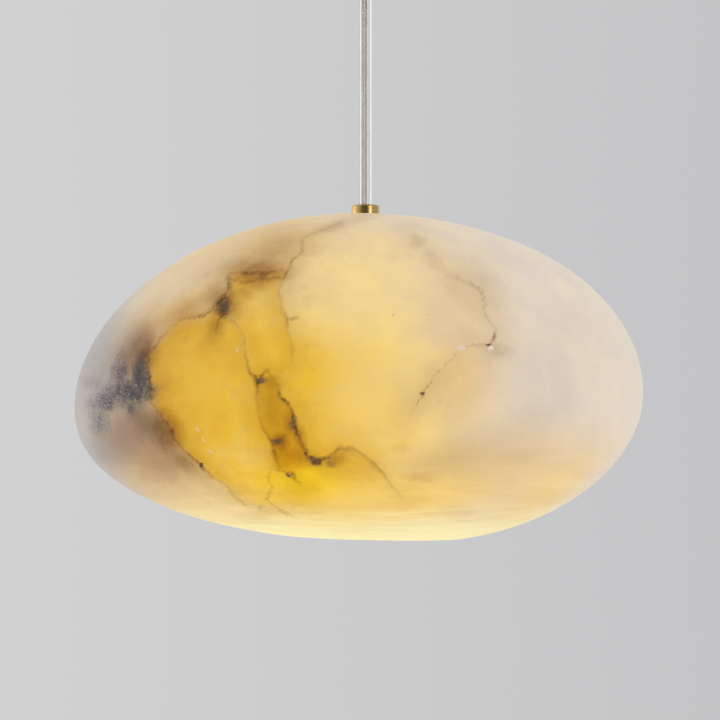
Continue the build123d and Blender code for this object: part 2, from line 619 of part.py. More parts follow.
def make_leads():
    """The two leads between the puck and the holder at angle zero."""
    start = PUCK_LEAD_REACH - LEAD_DEPTH + FREE_GAP
    end = LAMP_CIRCLE - HOLDER_RADIUS + LEAD_DEPTH - FREE_GAP
    bend_x = (PUCK_RADIUS + LAMP_CIRCLE - HOLDER_RADIUS) / 2
    leads = []
    for side in (-1, 1):
        y = side * LEAD_SPREAD
        low_run = [(start, y, PUCK_LEAD_Z), (bend_x, y, PUCK_LEAD_Z)]
        points = [*low_run, (bend_x, y, HOLDER_LEAD_Z), (end, y, HOLDER_LEAD_Z)]
        leads.append(wire_along(points, LEAD_RADIUS, LEAD_BEND))
    return leads


def make_lamp_base():
    """The lamp's ceramic base at angle zero."""
    base = rod(BASE_RADIUS, BASE_LOW_Z, BASE_TOP_Z, LAMP_CIRCLE)
    return fillet(base.edges().group_by(Axis.Z)[-1], BASE_EDGE)


def make_lamp_pins():
    """The lamp's two wire loops at angle zero, standing up from its base."""
    loops = []
    straight_top = BASE_TOP_Z + PIN_LENGTH - PIN_LOOP_RADIUS - PIN_WIRE_RADIUS
    for side in (-1, 1):
        y = side * PIN_PITCH / 2
        near, far = (LAMP_CIRCLE, y - PIN_LOOP_RADIUS), (LAMP_CIRCLE, y + PIN_LOOP_RADIUS)
        rise = Line((*near, BASE_TOP_Z), (*near, straight_top))
        crown_top = (LAMP_CIRCLE, y, straight_top + PIN_LOOP_RADIUS)
        crown = ThreePointArc((*near, straight_top), crown_top, (*far, straight_top))
        fall = Line((*far, straight_top), (*far, BASE_TOP_Z))
        path = Wire([rise.edge(), crown.edge(), fall.edge()])
        section = Plane(origin=(*near, BASE_TOP_Z), z_dir=(0, 0, 1)) * Circle(PIN_WIRE_RADIUS)
        loops.append(sweep(section, path=path))
    return loops


def capsule(radius, low, high):
    """An upright bar at lamp angle zero with a half-round lower end."""
    return rod(radius, low + radius, high, LAMP_CIRCLE) + Pos(LAMP_CIRCLE, 0, low + radius) * Sphere(radius)


def make_lamp_envelope():
    """The lamp's frosted envelope at angle zero, open at the base."""
    low = BASE_LOW_Z - ENVELOPE_LENGTH
    hollow = capsule(ENVELOPE_RADIUS - ENVELOPE_WALL, low + ENVELOPE_WALL, BASE_LOW_Z + OVERCUT)
    return capsule(ENVELOPE_RADIUS, low, BASE_LOW_Z) - hollow


# Nodes and their files

STACK_NUT_BORE = NIPPLE_RADIUS + THREAD_GAP
GLAND_NUT_BASE_Z = CANOPY_FLOOR + GLAND_WASHER_HEIGHT
GLAND_NUT_TOP_Z = GLAND_NUT_BASE_Z + GLAND_NUT_HEIGHT
SPREADER_BASE_Z = SPREADER_TOP_Z - SPREADER_HEIGHT

nodes = {
    "ceiling_bracket": make_bracket(),
    "canopy": make_canopy(),
    "canopy_screws": make_canopy_screws(),
    "terminal_block": make_terminal_block(),
    "terminal_barrels": make_terminal_barrels(),
    "terminal_screws": make_terminal_screws(),
    "terminal_fixing_screw": make_terminal_fixing(),
    "earth_washer": make_earth_washer(),
    "earth_screw": make_earth_screw(),
    "gland_body": make_gland_body(),
    "gland_washer": ring(GLAND_WASHER_RADIUS, GLAND_STEM_RADIUS + SCREW_GAP, CANOPY_FLOOR, GLAND_NUT_BASE_Z),
    "gland_nut": hex_nut(GLAND_NUT_FLATS, GLAND_STEM_RADIUS + THREAD_GAP, GLAND_NUT_BASE_Z, GLAND_NUT_TOP_Z),
    "cord_tails": make_cord_tails(),
    "gland_bush": make_gland_bush(),
    "cord_stop": make_cord_stop(),
    "cord_jacket": make_cord_jacket(),
    "cord_end_ferrule": ring(FERRULE_RADIUS, CORD_RADIUS + CORE_GAP, FERRULE_BASE_Z, FERRULE_TOP_Z),
    "cap": make_cap(),
    "cap_screw": make_cap_screw(),
    "cap_gasket": ring(CAP_GASKET_RADIUS, STONE_HOLE, SEAT_Z, CAP_BASE_Z),
    "nipple": ring(NIPPLE_RADIUS, NIPPLE_BORE, NIPPLE_BASE_Z, CAP_BASE_Z + NIPPLE_IN_CAP),
    "shade": make_shade(),
    "inner_gasket": ring(INNER_GASKET_RADIUS, STONE_HOLE, SPREADER_TOP_Z, INNER_SEAT_Z),
    "spreader_washer": ring(SPREADER_RADIUS, NIPPLE_RADIUS + SCREW_GAP, SPREADER_BASE_Z, SPREADER_TOP_Z),
    "shade_nut": hex_nut(STACK_NUT_FLATS, STACK_NUT_BORE, CARRIER_TOP_Z, SHADE_NUT_TOP_Z),
    "lamp_carrier": make_carrier(),
    "carrier_nut": hex_nut(STACK_NUT_FLATS, STACK_NUT_BORE, CARRIER_NUT_BASE_Z, CARRIER_BASE_Z),
    "holder_contacts": at_each_lamp(make_holder_contacts()),
    "holder_screws": at_each_lamp([make_holder_screw(-1), make_holder_screw(1)]),
    "junction_puck": make_puck(),
    "lamp_leads": at_each_lamp(make_leads()),
}
for core_name, core_x in CORE_XS.items():
    nodes[core_name] = rod(CORE_RADIUS, CORD_BASE_Z, CORD_TOP_Z, core_x)

lamp_stick = capsule(STICK_RADIUS, BASE_LOW_Z - STICK_LENGTH, BASE_LOW_Z)
for number, lamp_angle in enumerate(LAMP_ANGLES, start=1):
    place = Rot(0, 0, lamp_angle)
    nodes[f"lamp_holder_{number}"] = place * make_holder()
    nodes[f"lamp_{number}_base"] = place * make_lamp_base()
    nodes[f"lamp_{number}_pins"] = Compound(children=[place * loop for loop in make_lamp_pins()])
    nodes[f"lamp_{number}_envelope"] = place * make_lamp_envelope()
    nodes[f"lamp_{number}_stick"] = place * lamp_stick

os.makedirs("parts", exist_ok=True)
for node_name, shape in nodes.items():
    export_step(shape, f"parts/{node_name}.step")
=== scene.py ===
"""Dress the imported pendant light: a glowing alabaster pebble under a brass cap on a clear cord."""

import logging
from collections.abc import Iterable
from dataclasses import dataclass, field
from enum import Enum
from functools import reduce
from math import pi, radians, sin

import bpy
import numpy as np
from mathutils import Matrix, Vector

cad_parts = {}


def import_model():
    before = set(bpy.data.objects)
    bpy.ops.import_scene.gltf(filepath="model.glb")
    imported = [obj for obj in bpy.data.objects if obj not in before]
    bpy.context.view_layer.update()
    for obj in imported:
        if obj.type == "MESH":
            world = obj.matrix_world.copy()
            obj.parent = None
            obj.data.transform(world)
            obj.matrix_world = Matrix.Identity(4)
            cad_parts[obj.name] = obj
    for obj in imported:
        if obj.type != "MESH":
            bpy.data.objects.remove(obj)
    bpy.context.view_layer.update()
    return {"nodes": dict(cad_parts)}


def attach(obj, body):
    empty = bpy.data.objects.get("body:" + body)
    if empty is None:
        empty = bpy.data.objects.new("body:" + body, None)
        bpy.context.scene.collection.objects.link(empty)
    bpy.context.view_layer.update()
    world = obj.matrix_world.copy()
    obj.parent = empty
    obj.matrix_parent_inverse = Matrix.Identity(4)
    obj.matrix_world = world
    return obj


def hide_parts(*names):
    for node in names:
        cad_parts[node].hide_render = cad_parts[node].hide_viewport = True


LOG = logging.getLogger("pendant_light")
MM_PER_M = 1000.0
# The range in which nearly all of a cloud noise lies
NOISE_LOW, NOISE_HIGH = 0.3, 0.7

Socket = bpy.types.NodeSocket
Value = float | Socket
Colour = tuple[float, float, float, float]
Tint = Socket | Colour
Inputs = dict[int | str, object]
Place = tuple[float, float]
Span = tuple[float, float]


def shown(red: int, green: int, blue: int) -> Colour:
    """Turn a colour as a screen shows it into the linear colour that a shader takes.

    Args:
        red: Red from 0 to 255.
        green: Green from 0 to 255.
        blue: Blue from 0 to 255.

    Returns:
        The linear colour with full alpha.
    """
    parts = [part / 255 for part in (red, green, blue)]
    linear = [part / 12.92 if part <= 0.04045 else ((part + 0.055) / 1.055) ** 2.4 for part in parts]
    return (linear[0], linear[1], linear[2], 1.0)


def grey(light: float) -> Colour:
    """Return the grey of a linear lightness."""
    return (light, light, light, 1.0)


class NodeSheet:
    """A node tree with short calls for the nodes that the finishes use."""

    def __init__(self, tree: bpy.types.NodeTree) -> None:
        """Keep the tree and clear it."""
        self.tree = tree
        tree.nodes.clear()

    def node(self, kind: str, inputs: Inputs | None = None, **settings: object) -> bpy.types.Node:
        """Add a node.

        Args:
            kind: The node's type, without its prefix.
            inputs: Plain values or output sockets for its inputs, by their numbers or names.
            settings: Properties to set on it.

        Returns:
            The new node.
        """
        made = self.tree.nodes.new("ShaderNode" + kind)
        for name, setting in settings.items():
            setattr(made, name, setting)
        for key, value in (inputs or {}).items():
            if isinstance(value, bpy.types.NodeSocket):
                self.tree.links.new(value, made.inputs[key])
            else:
                made.inputs[key].default_value = value
        return made

    def math(self, operation: str, *values: Value) -> Socket:
        """Return the result of one step of arithmetic."""
        return self.node("Math", dict(enumerate(values)), operation=operation).outputs[0]

    def plus(self, *values: Value) -> Socket:
        """Return the sum of the values."""
        return reduce(lambda whole, value: self.math("ADD", whole, value), values)

    def times(self, *values: Value) -> Socket:
        """Return the product of the values."""
        return reduce(lambda whole, value: self.math("MULTIPLY", whole, value), values)

    def most(self, values: Iterable[Value]) -> Socket:
        """Return the greatest of the values, each joined to the others as soon as it is made."""
        return reduce(lambda whole, value: self.math("MAXIMUM", whole, value), values)

    def distance(self, first: Socket, second: Socket) -> Socket:
        """Return how far a place is from zero, from its two numbers."""
        return self.math("SQRT", self.math("MULTIPLY_ADD", first, first, self.times(second, second)))

    def step(self, value: Value, low: float, high: float, start: float = 0.0, end: float = 1.0) -> Socket:
        """Ease from one number to another while a value passes between two limits.

        Args:
            value: The value that is watched.
            low: Where the easing starts; it may lie above its end.
            high: Where the easing ends.
            start: The result before it.
            end: The result after it.

        Returns:
            The eased number.
        """
        limits = (high, low, end, start) if low > high else (low, high, start, end)
        inputs = dict(enumerate((value, *limits)))
        return self.node("MapRange", inputs, interpolation_type="SMOOTHSTEP").outputs[0]

    def scale(self, value: Value, low: float, high: float, start: float, end: float) -> Socket:
        """Map a value evenly from the range low to high to the range start to end, held at the ends."""
        return self.node("MapRange", dict(enumerate((value, low, high, start, end)))).outputs[0]

    def spread(self, noise: Socket, start: float, end: float) -> Socket:
        """Map a noise's usual range to the range start to end."""
        return self.scale(noise, NOISE_LOW, NOISE_HIGH, start, end)

    def blend(self, share: Value, first: Tint, second: Tint, way: str = "MIX") -> Socket:
        """Return the first colour with a share of the second on top of it."""
        made = self.node("Mix", {0: share, 6: first, 7: second}, data_type="RGBA", blend_type=way)
        return made.outputs[2]

    def dimmed(self, colour: Socket, light: Socket) -> Socket:
        """Return a colour times a light."""
        return self.blend(1.0, colour, self.joined(light, light, light), "MULTIPLY")

    def between(self, share: Value, first: Value, second: Value) -> Socket:
        """Return the number that lies a share of the way from the first to the second."""
        return self.node("Mix", {0: share, 2: first, 3: second}, data_type="FLOAT").outputs[0]

    def noise(self, place: Socket, scale: float, detail: float, rough: float, output: int = 0) -> Socket:
        """Return cloud noise as a number, or as a colour from output one."""
        inputs = {"Vector": place, "Scale": scale, "Detail": detail, "Roughness": rough}
        return self.node("TexNoise", inputs).outputs[output]

    def ramp(self, value: Value, stops: tuple[tuple[float, Colour], ...]) -> Socket:
        """Turn a number into a colour along a row of stops.

        Args:
            value: The number, from zero to one.
            stops: Places and their colours, in order.

        Returns:
            The colour.
        """
        made = self.node("ValToRGB", {0: value})
        elements = made.color_ramp.elements
        for spare in range(len(stops) - len(elements)):
            elements.new((spare + 1) / len(stops))
        for element, (place, colour) in zip(elements, stops):
            element.position, element.color = place, colour
        return made.outputs[0]

    def curve(self, value: Value, points: list[Place]) -> Socket:
        """Read a given line of straight runs.

        Args:
            value: Where it is read, from zero to one.
            points: Its points, from zero to one both ways.

        Returns:
            The line's height there.
        """
        made = self.node("FloatCurve", {1: value})
        line = made.mapping.curves[0]
        line.points[0].location, line.points[1].location = points[0], points[-1]
        for point in points[1:-1]:
            line.points.new(*point)
        for point in line.points:
            point.handle_type = "VECTOR"
        made.mapping.update()
        return made.outputs[0]

    def stretched(self, place: Socket, across: float, deep: float, up: float) -> Socket:
        """Return a place stretched along its three axes."""
        return self.node("VectorMath", {0: place, 1: (across, deep, up)}, operation="MULTIPLY").outputs[0]

    def object_place(self) -> Socket:
        """Return the place on the object itself, in millimetres."""
        return self.stretched(self.node("TexCoord").outputs["Object"], MM_PER_M, MM_PER_M, MM_PER_M)

    def apart(self, place: Socket) -> tuple[Socket, Socket, Socket]:
        """Return a place's three numbers."""
        return tuple(self.node("SeparateXYZ", {0: place}).outputs)

    def joined(self, across: Value, deep: Value, up: Value) -> Socket:
        """Return a place made of three numbers."""
        return self.node("CombineXYZ", {0: across, 1: deep, 2: up}).outputs[0]

    def bump(self, height: Socket, strength: float, distance: float) -> Socket:
        """Return the normal that a height bends, of which one unit stands out by a distance in metres."""
        return self.node("Bump", {"Strength": strength, "Distance": distance, "Height": height}).outputs[0]

    def surface(self, **inputs: Value | Colour) -> None:
        """Add the surface shader, whose inputs are named with underscores for spaces, and the output."""
        spaced = {name.replace("_", " "): value for name, value in inputs.items()}
        self.node("OutputMaterial", {0: self.node("BsdfPrincipled", spaced).outputs[0]})


class Finish:
    """A finish that makes its material once and hands out the same one again."""

    name: str

    def paint(self, sheet: NodeSheet) -> None:
        """Lay out the material's nodes."""
        raise NotImplementedError

    def material(self) -> bpy.types.Material:
        """Find the material, or make it on the first call.

        Returns:
            The material.
        """
        title = f"{self.name}_finish"
        made = bpy.data.materials.get(title)
        if made is None:
            made = bpy.data.materials.new(title)
            made.use_nodes = True
            self.paint(NodeSheet(made.node_tree))
        return made

    def dress(self, piece: bpy.types.Object) -> None:
        """Put the material on a piece in place of any other."""
        piece.data.materials.clear()
        piece.data.materials.append(self.material())


@dataclass(frozen=True)
class TurnedMetal(Finish):
    """Metal with fine turning lines, a little tarnish and uneven gloss."""

    name: str
    light: Colour
    dark: Colour
    gloss: float
    tarnish: float = 0.35
    rings_per_mm: float = 6.0
    relief: float = 0.00006

    def paint(self, sheet: NodeSheet) -> None:
        """Lay out the material's nodes.

        Args:
            sheet: The material's node sheet.
        """
        place = sheet.object_place()
        across, deep, up = sheet.apart(place)
        radius = sheet.distance(across, deep)
        lathe = sheet.joined(sheet.times(radius, self.rings_per_mm), 0.0, sheet.times(up, self.rings_per_mm))
        rings = sheet.noise(lathe, 1.0, 3.0, 0.7)
        clouds = sheet.noise(place, 0.16, 4.0, 0.6)
        spots = sheet.noise(place, 1.3, 3.0, 0.6)
        shade = sheet.plus(sheet.times(clouds, 0.7), sheet.times(rings, 0.3))
        worn = sheet.step(shade, 0.62, 0.36, 0.0, self.tarnish)
        sheet.surface(
            Base_Color=sheet.blend(worn, self.light, self.dark),
            Metallic=1.0,
            Roughness=sheet.scale(sheet.plus(spots, worn), 0.3, 1.0, self.gloss * 0.88, self.gloss * 1.2),
            Normal=sheet.bump(rings, 0.25, self.relief),
        )


@dataclass(frozen=True)
class MouldedPlastic(Finish):
    """Moulded plastic or rubber with a faint grain and slight shade differences."""

    name: str
    light: Colour
    dark: Colour
    gloss: float
    grain: float = 2.2
    relief: float = 0.00005

    def paint(self, sheet: NodeSheet) -> None:
        """Lay out the material's nodes.

        Args:
            sheet: The material's node sheet.
        """
        place = sheet.object_place()
        clouds = sheet.noise(place, 0.12, 3.0, 0.55)
        grain = sheet.noise(place, self.grain, 4.0, 0.65)
        sheet.surface(
            Base_Color=sheet.blend(sheet.step(clouds, 0.35, 0.68), self.light, self.dark),
            Roughness=sheet.spread(grain, self.gloss * 0.85, self.gloss * 1.2),
            Normal=sheet.bump(grain, 0.3, self.relief),
        )


@dataclass(frozen=True)
class GlazedCeramic(Finish):
    """White ceramic with a soft glaze, fine pits and a painted warm cast from the lamps."""

    name: str
    light: Colour
    dark: Colour
    pits_per_mm: float = 0.9
    relief: float = 0.0001

    def paint(self, sheet: NodeSheet) -> None:
        """Lay out the material's nodes.

        Args:
            sheet: The material's node sheet.
        """
        place = sheet.object_place()
        pits = sheet.node("TexVoronoi", {"Vector": place, "Scale": self.pits_per_mm}).outputs[0]
        clouds = sheet.noise(place, 0.2, 3.0, 0.6)
        pitted = sheet.step(pits, 0.16, 0.05)
        # Darker in the pits, with a painted warm cast from the lamps in broad clouds
        stained = sheet.most((sheet.times(pitted, 0.7), sheet.step(clouds, 0.5, 0.75)))
        sheet.surface(
            Base_Color=sheet.blend(stained, self.light, self.dark),
            Roughness=sheet.spread(clouds, 0.28, 0.42),
            Normal=sheet.bump(sheet.math("SUBTRACT", 1.0, pitted), 0.3, self.relief),
        )


@dataclass(frozen=True)
class FrostedGlow(Finish):
    """Frosted glass that glows, warmer towards the lamp's base and its tip, whose heights it is given."""

    name: str
    middle: Colour
    ends: Colour
    base: float
    tip: float
    strength: float
    body: Colour = grey(0.3)
    fade: float = 12.0
    relief: float = 0.00005

    def paint(self, sheet: NodeSheet) -> None:
        """Lay out the material's nodes.

        Args:
            sheet: The material's node sheet.
        """
        place = sheet.object_place()
        up = sheet.apart(place)[2]
        frost = sheet.noise(place, 3.0, 3.0, 0.6)
        near_base = sheet.step(up, self.base - self.fade, self.base)
        near_tip = sheet.step(up, self.tip + self.fade, self.tip)
        share = sheet.plus(sheet.most((near_base, near_tip)), sheet.spread(frost, -0.08, 0.08))
        colour = sheet.blend(share, self.middle, self.ends)
        sheet.surface(
            Base_Color=sheet.blend(1.0, colour, self.body, "MULTIPLY"),
            Roughness=0.55,
            Emission_Color=colour,
            Emission_Strength=self.strength,
            Normal=sheet.bump(frost, 0.25, self.relief),
        )


@dataclass(frozen=True)
class ClearPlastic(Finish):
    """Clear plastic with slight flow lines along the cord."""

    name: str
    tint: Colour
    flow_tint: Colour
    bend: float
    gloss: float
    relief: float = 0.00005

    def paint(self, sheet: NodeSheet) -> None:
        """Lay out the material's nodes.

        Args:
            sheet: The material's node sheet.
        """
        flow = sheet.noise(sheet.stretched(sheet.object_place(), 1.0, 1.0, 0.05), 1.4, 3.0, 0.6)
        sheet.surface(
            Base_Color=sheet.blend(sheet.step(flow, 0.4, 0.7), self.tint, self.flow_tint),
            Roughness=self.gloss,
            IOR=self.bend,
            Transmission_Weight=1.0,
            Normal=sheet.bump(flow, 0.12, self.relief),
        )


@dataclass(frozen=True)
class Ground:
    """What the stone's marks are drawn on: places in millimetres, and noises from broad to fine."""

    sheet: NodeSheet
    place: Socket
    across: Socket
    up: Socket
    flat: Socket
    clouds: Socket
    grain: Socket
    beads: Socket
    sparkle: Socket


class Run(Enum):
    """Which way a vein runs, so that it passes each height or each place across only once."""

    DOWN = "down"
    ACROSS = "across"


@dataclass(frozen=True)
class VeinMarks:
    """What a vein leaves on the stone: its dark line, its stain and which side a place is on."""

    line: Socket
    stain: Socket
    side: Socket


# Noise limits between which a vein's line fades in, with its strength below and above them
PATCHY = (0.36, 0.58, 0.45, 1.0)
BEADED = (0.32, 0.6, 0.3, 1.0)


@dataclass(frozen=True)
class Vein:
    """A vein on the stone's front, in millimetres to the right of the cord and above mid height.

    The weights say how strong it is at places along its run.
    """

    run: Run
    course: tuple[Place, ...]
    weights: tuple[Place, ...]
    width: float = 0.75
    gaps: float = 0.0
    stain_width: float = 4.0
    stain: float = 0.5
    stain_side: float = 0.0
    halo_width: float = 20.0
    halo: float = 0.22

    def marks(self, ground: Ground) -> VeinMarks:
        """Draw the vein.

        Args:
            ground: What it is drawn on.

        Returns:
            The vein's marks.
        """
        sheet, grain, beads = ground.sheet, ground.grain, ground.beads
        down = self.run is Run.DOWN
        along, aside = (ground.up, ground.across) if down else (ground.across, ground.up)
        points = sorted((point[::-1] if down else point) for point in self.course)
        low, high = points[0][0], points[-1][0]
        least, most = min(off for _, off in points), max(off for _, off in points)
        reach, spread = high - low, most - least
        part = sheet.scale(along, low, high, 0.0, 1.0)
        line = sheet.curve(part, [((at - low) / reach, (off - least) / spread) for at, off in points])
        weight = sheet.curve(part, [((at - low) / reach, strength) for at, strength in sorted(self.weights)])
        side = sheet.math("SUBTRACT", aside, sheet.math("MULTIPLY_ADD", line, spread, least))
        past = sheet.math("SUBTRACT", along, sheet.math("MULTIPLY_ADD", part, reach, low))
        distance = sheet.distance(past, side)
        wide = sheet.spread(grain, self.width * 0.5, self.width * 1.7)
        whole = sheet.times(sheet.step(sheet.math("DIVIDE", distance, wide), 1.9, 0.0), weight)
        patchy = sheet.step(grain, *PATCHY)
        broken = (self.gaps - 0.06, self.gaps + 0.1, 0.08, 1.0) if self.gaps else BEADED
        beaded = sheet.step(beads, *broken)
        loose = sheet.times(distance, sheet.spread(grain, 1.5, 0.6))
        near = sheet.math("POWER", sheet.step(loose, self.stain_width, 0.0), 1.5)
        soft = sheet.times(near, sheet.math("MULTIPLY_ADD", weight, 0.65, 0.35))
        halo = sheet.times(sheet.step(loose, self.halo_width, 0.0), self.halo)
        if self.stain_side:
            soft = sheet.times(soft, sheet.step(side, -2.0 * self.stain_side, self.stain_side, 0.35, 1.0))
        stained = sheet.times(soft, sheet.scale(beads, 0.25, 0.7, self.stain * 0.65, self.stain * 1.1))
        return VeinMarks(sheet.times(whole, patchy, beaded), sheet.most((stained, halo)), side)


@dataclass(frozen=True)
class Smudge:
    """A soft oval patch on the stone's front, placed as the veins are, that leans by degrees."""

    across: float
    up: float
    half_width: float
    half_height: float
    strength: float
    lean: float = 0.0
    core: float = 0.0

    def mark(self, ground: Ground) -> Socket:
        """Draw the patch.

        Args:
            ground: What it is drawn on.

        Returns:
            How strong the patch is there.
        """
        made = ground.sheet.node("TexGradient", {"Vector": ground.flat}, gradient_type="SPHERICAL")
        mapping = made.texture_mapping
        mapping.vector_type = "TEXTURE"
        mapping.translation = (self.across, self.up, 0.0)
        mapping.rotation = (0.0, 0.0, radians(self.lean))
        mapping.scale = (self.half_width, self.half_height, 1.0)
        return ground.sheet.step(made.outputs["Fac"], 0.0, 1.0 - self.core, 0.0, self.strength)


@dataclass(frozen=True)
class Pool:
    """A soft patch of one colour in the stone."""

    patch: Smudge
    colour: Colour


def smudges(*rows: tuple[float, ...]) -> tuple[Smudge, ...]:
    """Return patches from rows of across, up, half width, half height, strength, lean and core."""
    return tuple(Smudge(*row) for row in rows)


def gathered(ground: Ground, spots: tuple[Smudge, ...]) -> Socket:
    """Return the strongest of several patches."""
    return ground.sheet.most(spot.mark(ground) for spot in spots)


def pooled(ground: Ground, colour: Socket, pools: tuple[Pool, ...]) -> Socket:
    """Lay pools of other colours over a colour, one after the other.

    Args:
        ground: What they are drawn on.
        colour: The colour below.
        pools: The pools.

    Returns:
        The colour with the pools.
    """
    for pool in pools:
        colour = ground.sheet.blend(pool.patch.mark(ground), colour, pool.colour)
    return colour


# The veins, from the brass cap down the middle and then out to the left and the right
MIDDLE_VEIN = Vein(
    Run.DOWN,
    course=(
        (-2, 76.5), (-15, 73.5), (-26, 69.5), (-33.5, 66), (-34, 58.5), (-39.5, 54.5), (-42.5, 49),
        (-45.5, 43), (-46.5, 38), (-45, 29), (-42.5, 23), (-42.5, 16.5), (-39.5, 5.5), (-40.5, -2.5),
        (-46, -6.5), (-48.5, -10), (-46.5, -19), (-42.5, -21.5), (-39.5, -29), (-38.5, -35.5), (-34.5, -44),
        (-31, -52), (-27.5, -53.5),
    ),
    weights=(
        (76.5, 0.12), (66, 0.22), (58, 0.25), (49, 0.65), (42, 0.28), (29, 0.16), (22, 0.35), (16, 0.14),
        (5, 0.18), (-3, 0.03), (-8, 0.05), (-12, 0.3), (-21, 0.6), (-29, 0.8), (-36, 0.85), (-44, 0.8),
        (-52, 1.0), (-53.5, 1.0),
    ),
    stain_width=6.5, stain=0.75, stain_side=-1.0,
)
LEFT_CROWN_VEIN = Vein(
    Run.ACROSS,
    course=(
        (-117.5, 4), (-112, 10), (-107, 15), (-99, 21.5), (-87.5, 23.5), (-83.5, 26.5), (-75.5, 34.5),
        (-73, 46.5), (-66, 47.5), (-56, 47.5), (-45, 49),
    ),
    weights=(
        (-117.5, 0.5), (-107, 0.15), (-99, 0.25), (-87.5, 0.5), (-83, 0.55), (-77, 0.85), (-73, 0.75),
        (-66, 0.65), (-56, 0.5), (-45, 0.55),
    ),
    width=0.7, stain_width=8.0, stain=0.8, stain_side=1.0,
)
BAND_VEIN = Vein(
    Run.ACROSS,
    course=((-74, 44), (-66, 42), (-57, 44), (-47, 44.5)),
    weights=((-74, 0.6), (-66, 0.45), (-57, 0.35), (-47, 0.4)),
    stain_width=4.5, stain=0.8,
)
KNOT_SPUR = Vein(
    Run.DOWN,
    course=((-76.5, 28), (-79.5, 20), (-82, 12)),
    weights=((28, 0.7), (20, 0.45), (12, 0.0)),
    stain_width=5.0, stain=0.9,
)
INNER_VEIN = Vein(
    Run.DOWN,
    course=(
        (-72.5, 21.5), (-66, 13.5), (-65.5, 5), (-62.5, -6.5), (-58.5, -10), (-59, -19), (-57.5, -29),
        (-55.5, -36.5), (-50, -44), (-49, -52), (-47.5, -58), (-40.5, -59.5), (-35.5, -67),
    ),
    weights=(
        (21.5, 0.3), (13, 0.12), (5, 0.14), (-6, 0.4), (-10, 0.8), (-19, 0.1), (-29, 0.06), (-37, 0.25),
        (-44, 0.7), (-52, 0.35), (-58, 0.3), (-60, 0.9), (-63, 0.4), (-67, 0.1),
    ),
    stain_width=6.0, stain=0.75,
)
CROSS_VEIN = Vein(
    Run.ACROSS,
    course=((-58.5, -10), (-53, -5), (-48.5, -10)),
    weights=((-58.5, 0.6), (-53, 0.22), (-48.5, 0.25)),
    stain_width=5.0, stain=0.8,
)
LOW_WAVE_VEIN = Vein(
    Run.ACROSS,
    course=(
        (-27.5, -53.5), (-20.5, -52), (-14.5, -46.5), (-6.5, -46.5), (-2, -49.5), (3, -54), (7, -58),
        (10, -61.5), (19, -72),
    ),
    weights=(
        (-27.5, 1.0), (-21, 0.6), (-14.5, 0.4), (-6.5, 0.25), (3, 0.22), (8, 0.28), (11, 0.15), (19, 0.0),
    ),
    width=0.95, stain_width=7.0, stain=0.85, stain_side=-1.0, halo=0.12,
)
LOBE_VEIN = Vein(
    Run.DOWN,
    course=((-49, -50), (-51, -57.5), (-53, -62.5), (-50.5, -67), (-53.5, -73.5)),
    weights=((-50, 0.3), (-57, 0.12), (-62, 0.2), (-67, 0.12), (-73, 0.3)),
    stain_width=4.0, stain=0.5, halo=0.06,
)
FOOT_VEIN = Vein(
    Run.ACROSS,
    course=((-53.5, -73.5), (-52, -75.5), (-46.5, -80), (-37.5, -84)),
    weights=((-53.5, 0.1), (-50, 0.3), (-42, 0.25), (-37.5, 0.0)),
    stain_width=3.0, stain=0.5, halo=0.05,
)
LEFT_VEIN = Vein(
    Run.DOWN,
    course=(
        (-117.5, 4), (-117.5, -2.5), (-115, -14), (-114.5, -22.5), (-110.5, -29), (-105.5, -35.5),
        (-103, -43), (-96.5, -49.5), (-88.5, -55.5), (-83, -61.5), (-75.5, -66.5), (-70, -73.5), (-65, -77),
        (-56, -78),
    ),
    weights=(
        (4, 0.6), (-8, 0.7), (-14, 0.5), (-22, 0.35), (-30, 0.5), (-40, 0.7), (-49, 0.5), (-55, 0.6),
        (-60, 0.22), (-70, 0.18), (-76, 0.25), (-78, 0.25),
    ),
    stain_width=7.0, stain=0.85, stain_side=-1.0,
)
LEFT_SPUR = Vein(
    Run.DOWN,
    course=((-111, -40), (-109, -46), (-106.5, -54)),
    weights=((-40, 0.35), (-46, 0.4), (-54, 0.0)),
    stain_width=4.0, stain=0.6,
)
RIGHT_CROWN_VEIN = Vein(
    Run.ACROSS,
    course=((26, 65.5), (35.5, 58), (43, 46.5), (54.5, 42), (62, 37.5)),
    weights=((26, 0.0), (35, 0.03), (43, 0.05), (52, 0.16), (62, 0.25)),
    gaps=0.52, stain_width=6.0, stain=0.6, halo=0.14,
)
RIGHT_VEIN = Vein(
    Run.DOWN,
    course=((62, 37.5), (63, 31.5), (62.5, 27), (66, 21.5), (69.5, 17), (68, 11.5), (66.5, 8)),
    weights=((37.5, 0.3), (27, 0.35), (17, 0.4), (8, 0.8)),
    gaps=0.55, stain_width=4.5, stain=0.5, halo=0.16,
)
RIGHT_LOW_VEIN = Vein(
    Run.ACROSS,
    course=((22.5, -30), (27.5, -23.5), (31, -16.5), (36.5, -8), (46, 1.5), (51, 7), (57, 8.5), (66.5, 8)),
    weights=((22.5, 0.05), (27, 0.25), (30, 0.7), (36, 0.3), (46, 0.25), (52, 0.05), (57, 0.5), (66.5, 0.9)),
    gaps=0.54, stain_width=3.5, stain=0.45, halo=0.14,
)
VEINS = (
    MIDDLE_VEIN, LEFT_CROWN_VEIN, BAND_VEIN, KNOT_SPUR, INNER_VEIN, CROSS_VEIN, LEFT_VEIN, LOW_WAVE_VEIN,
    LOBE_VEIN, FOOT_VEIN, LEFT_SPUR, RIGHT_CROWN_VEIN, RIGHT_VEIN, RIGHT_LOW_VEIN,
)

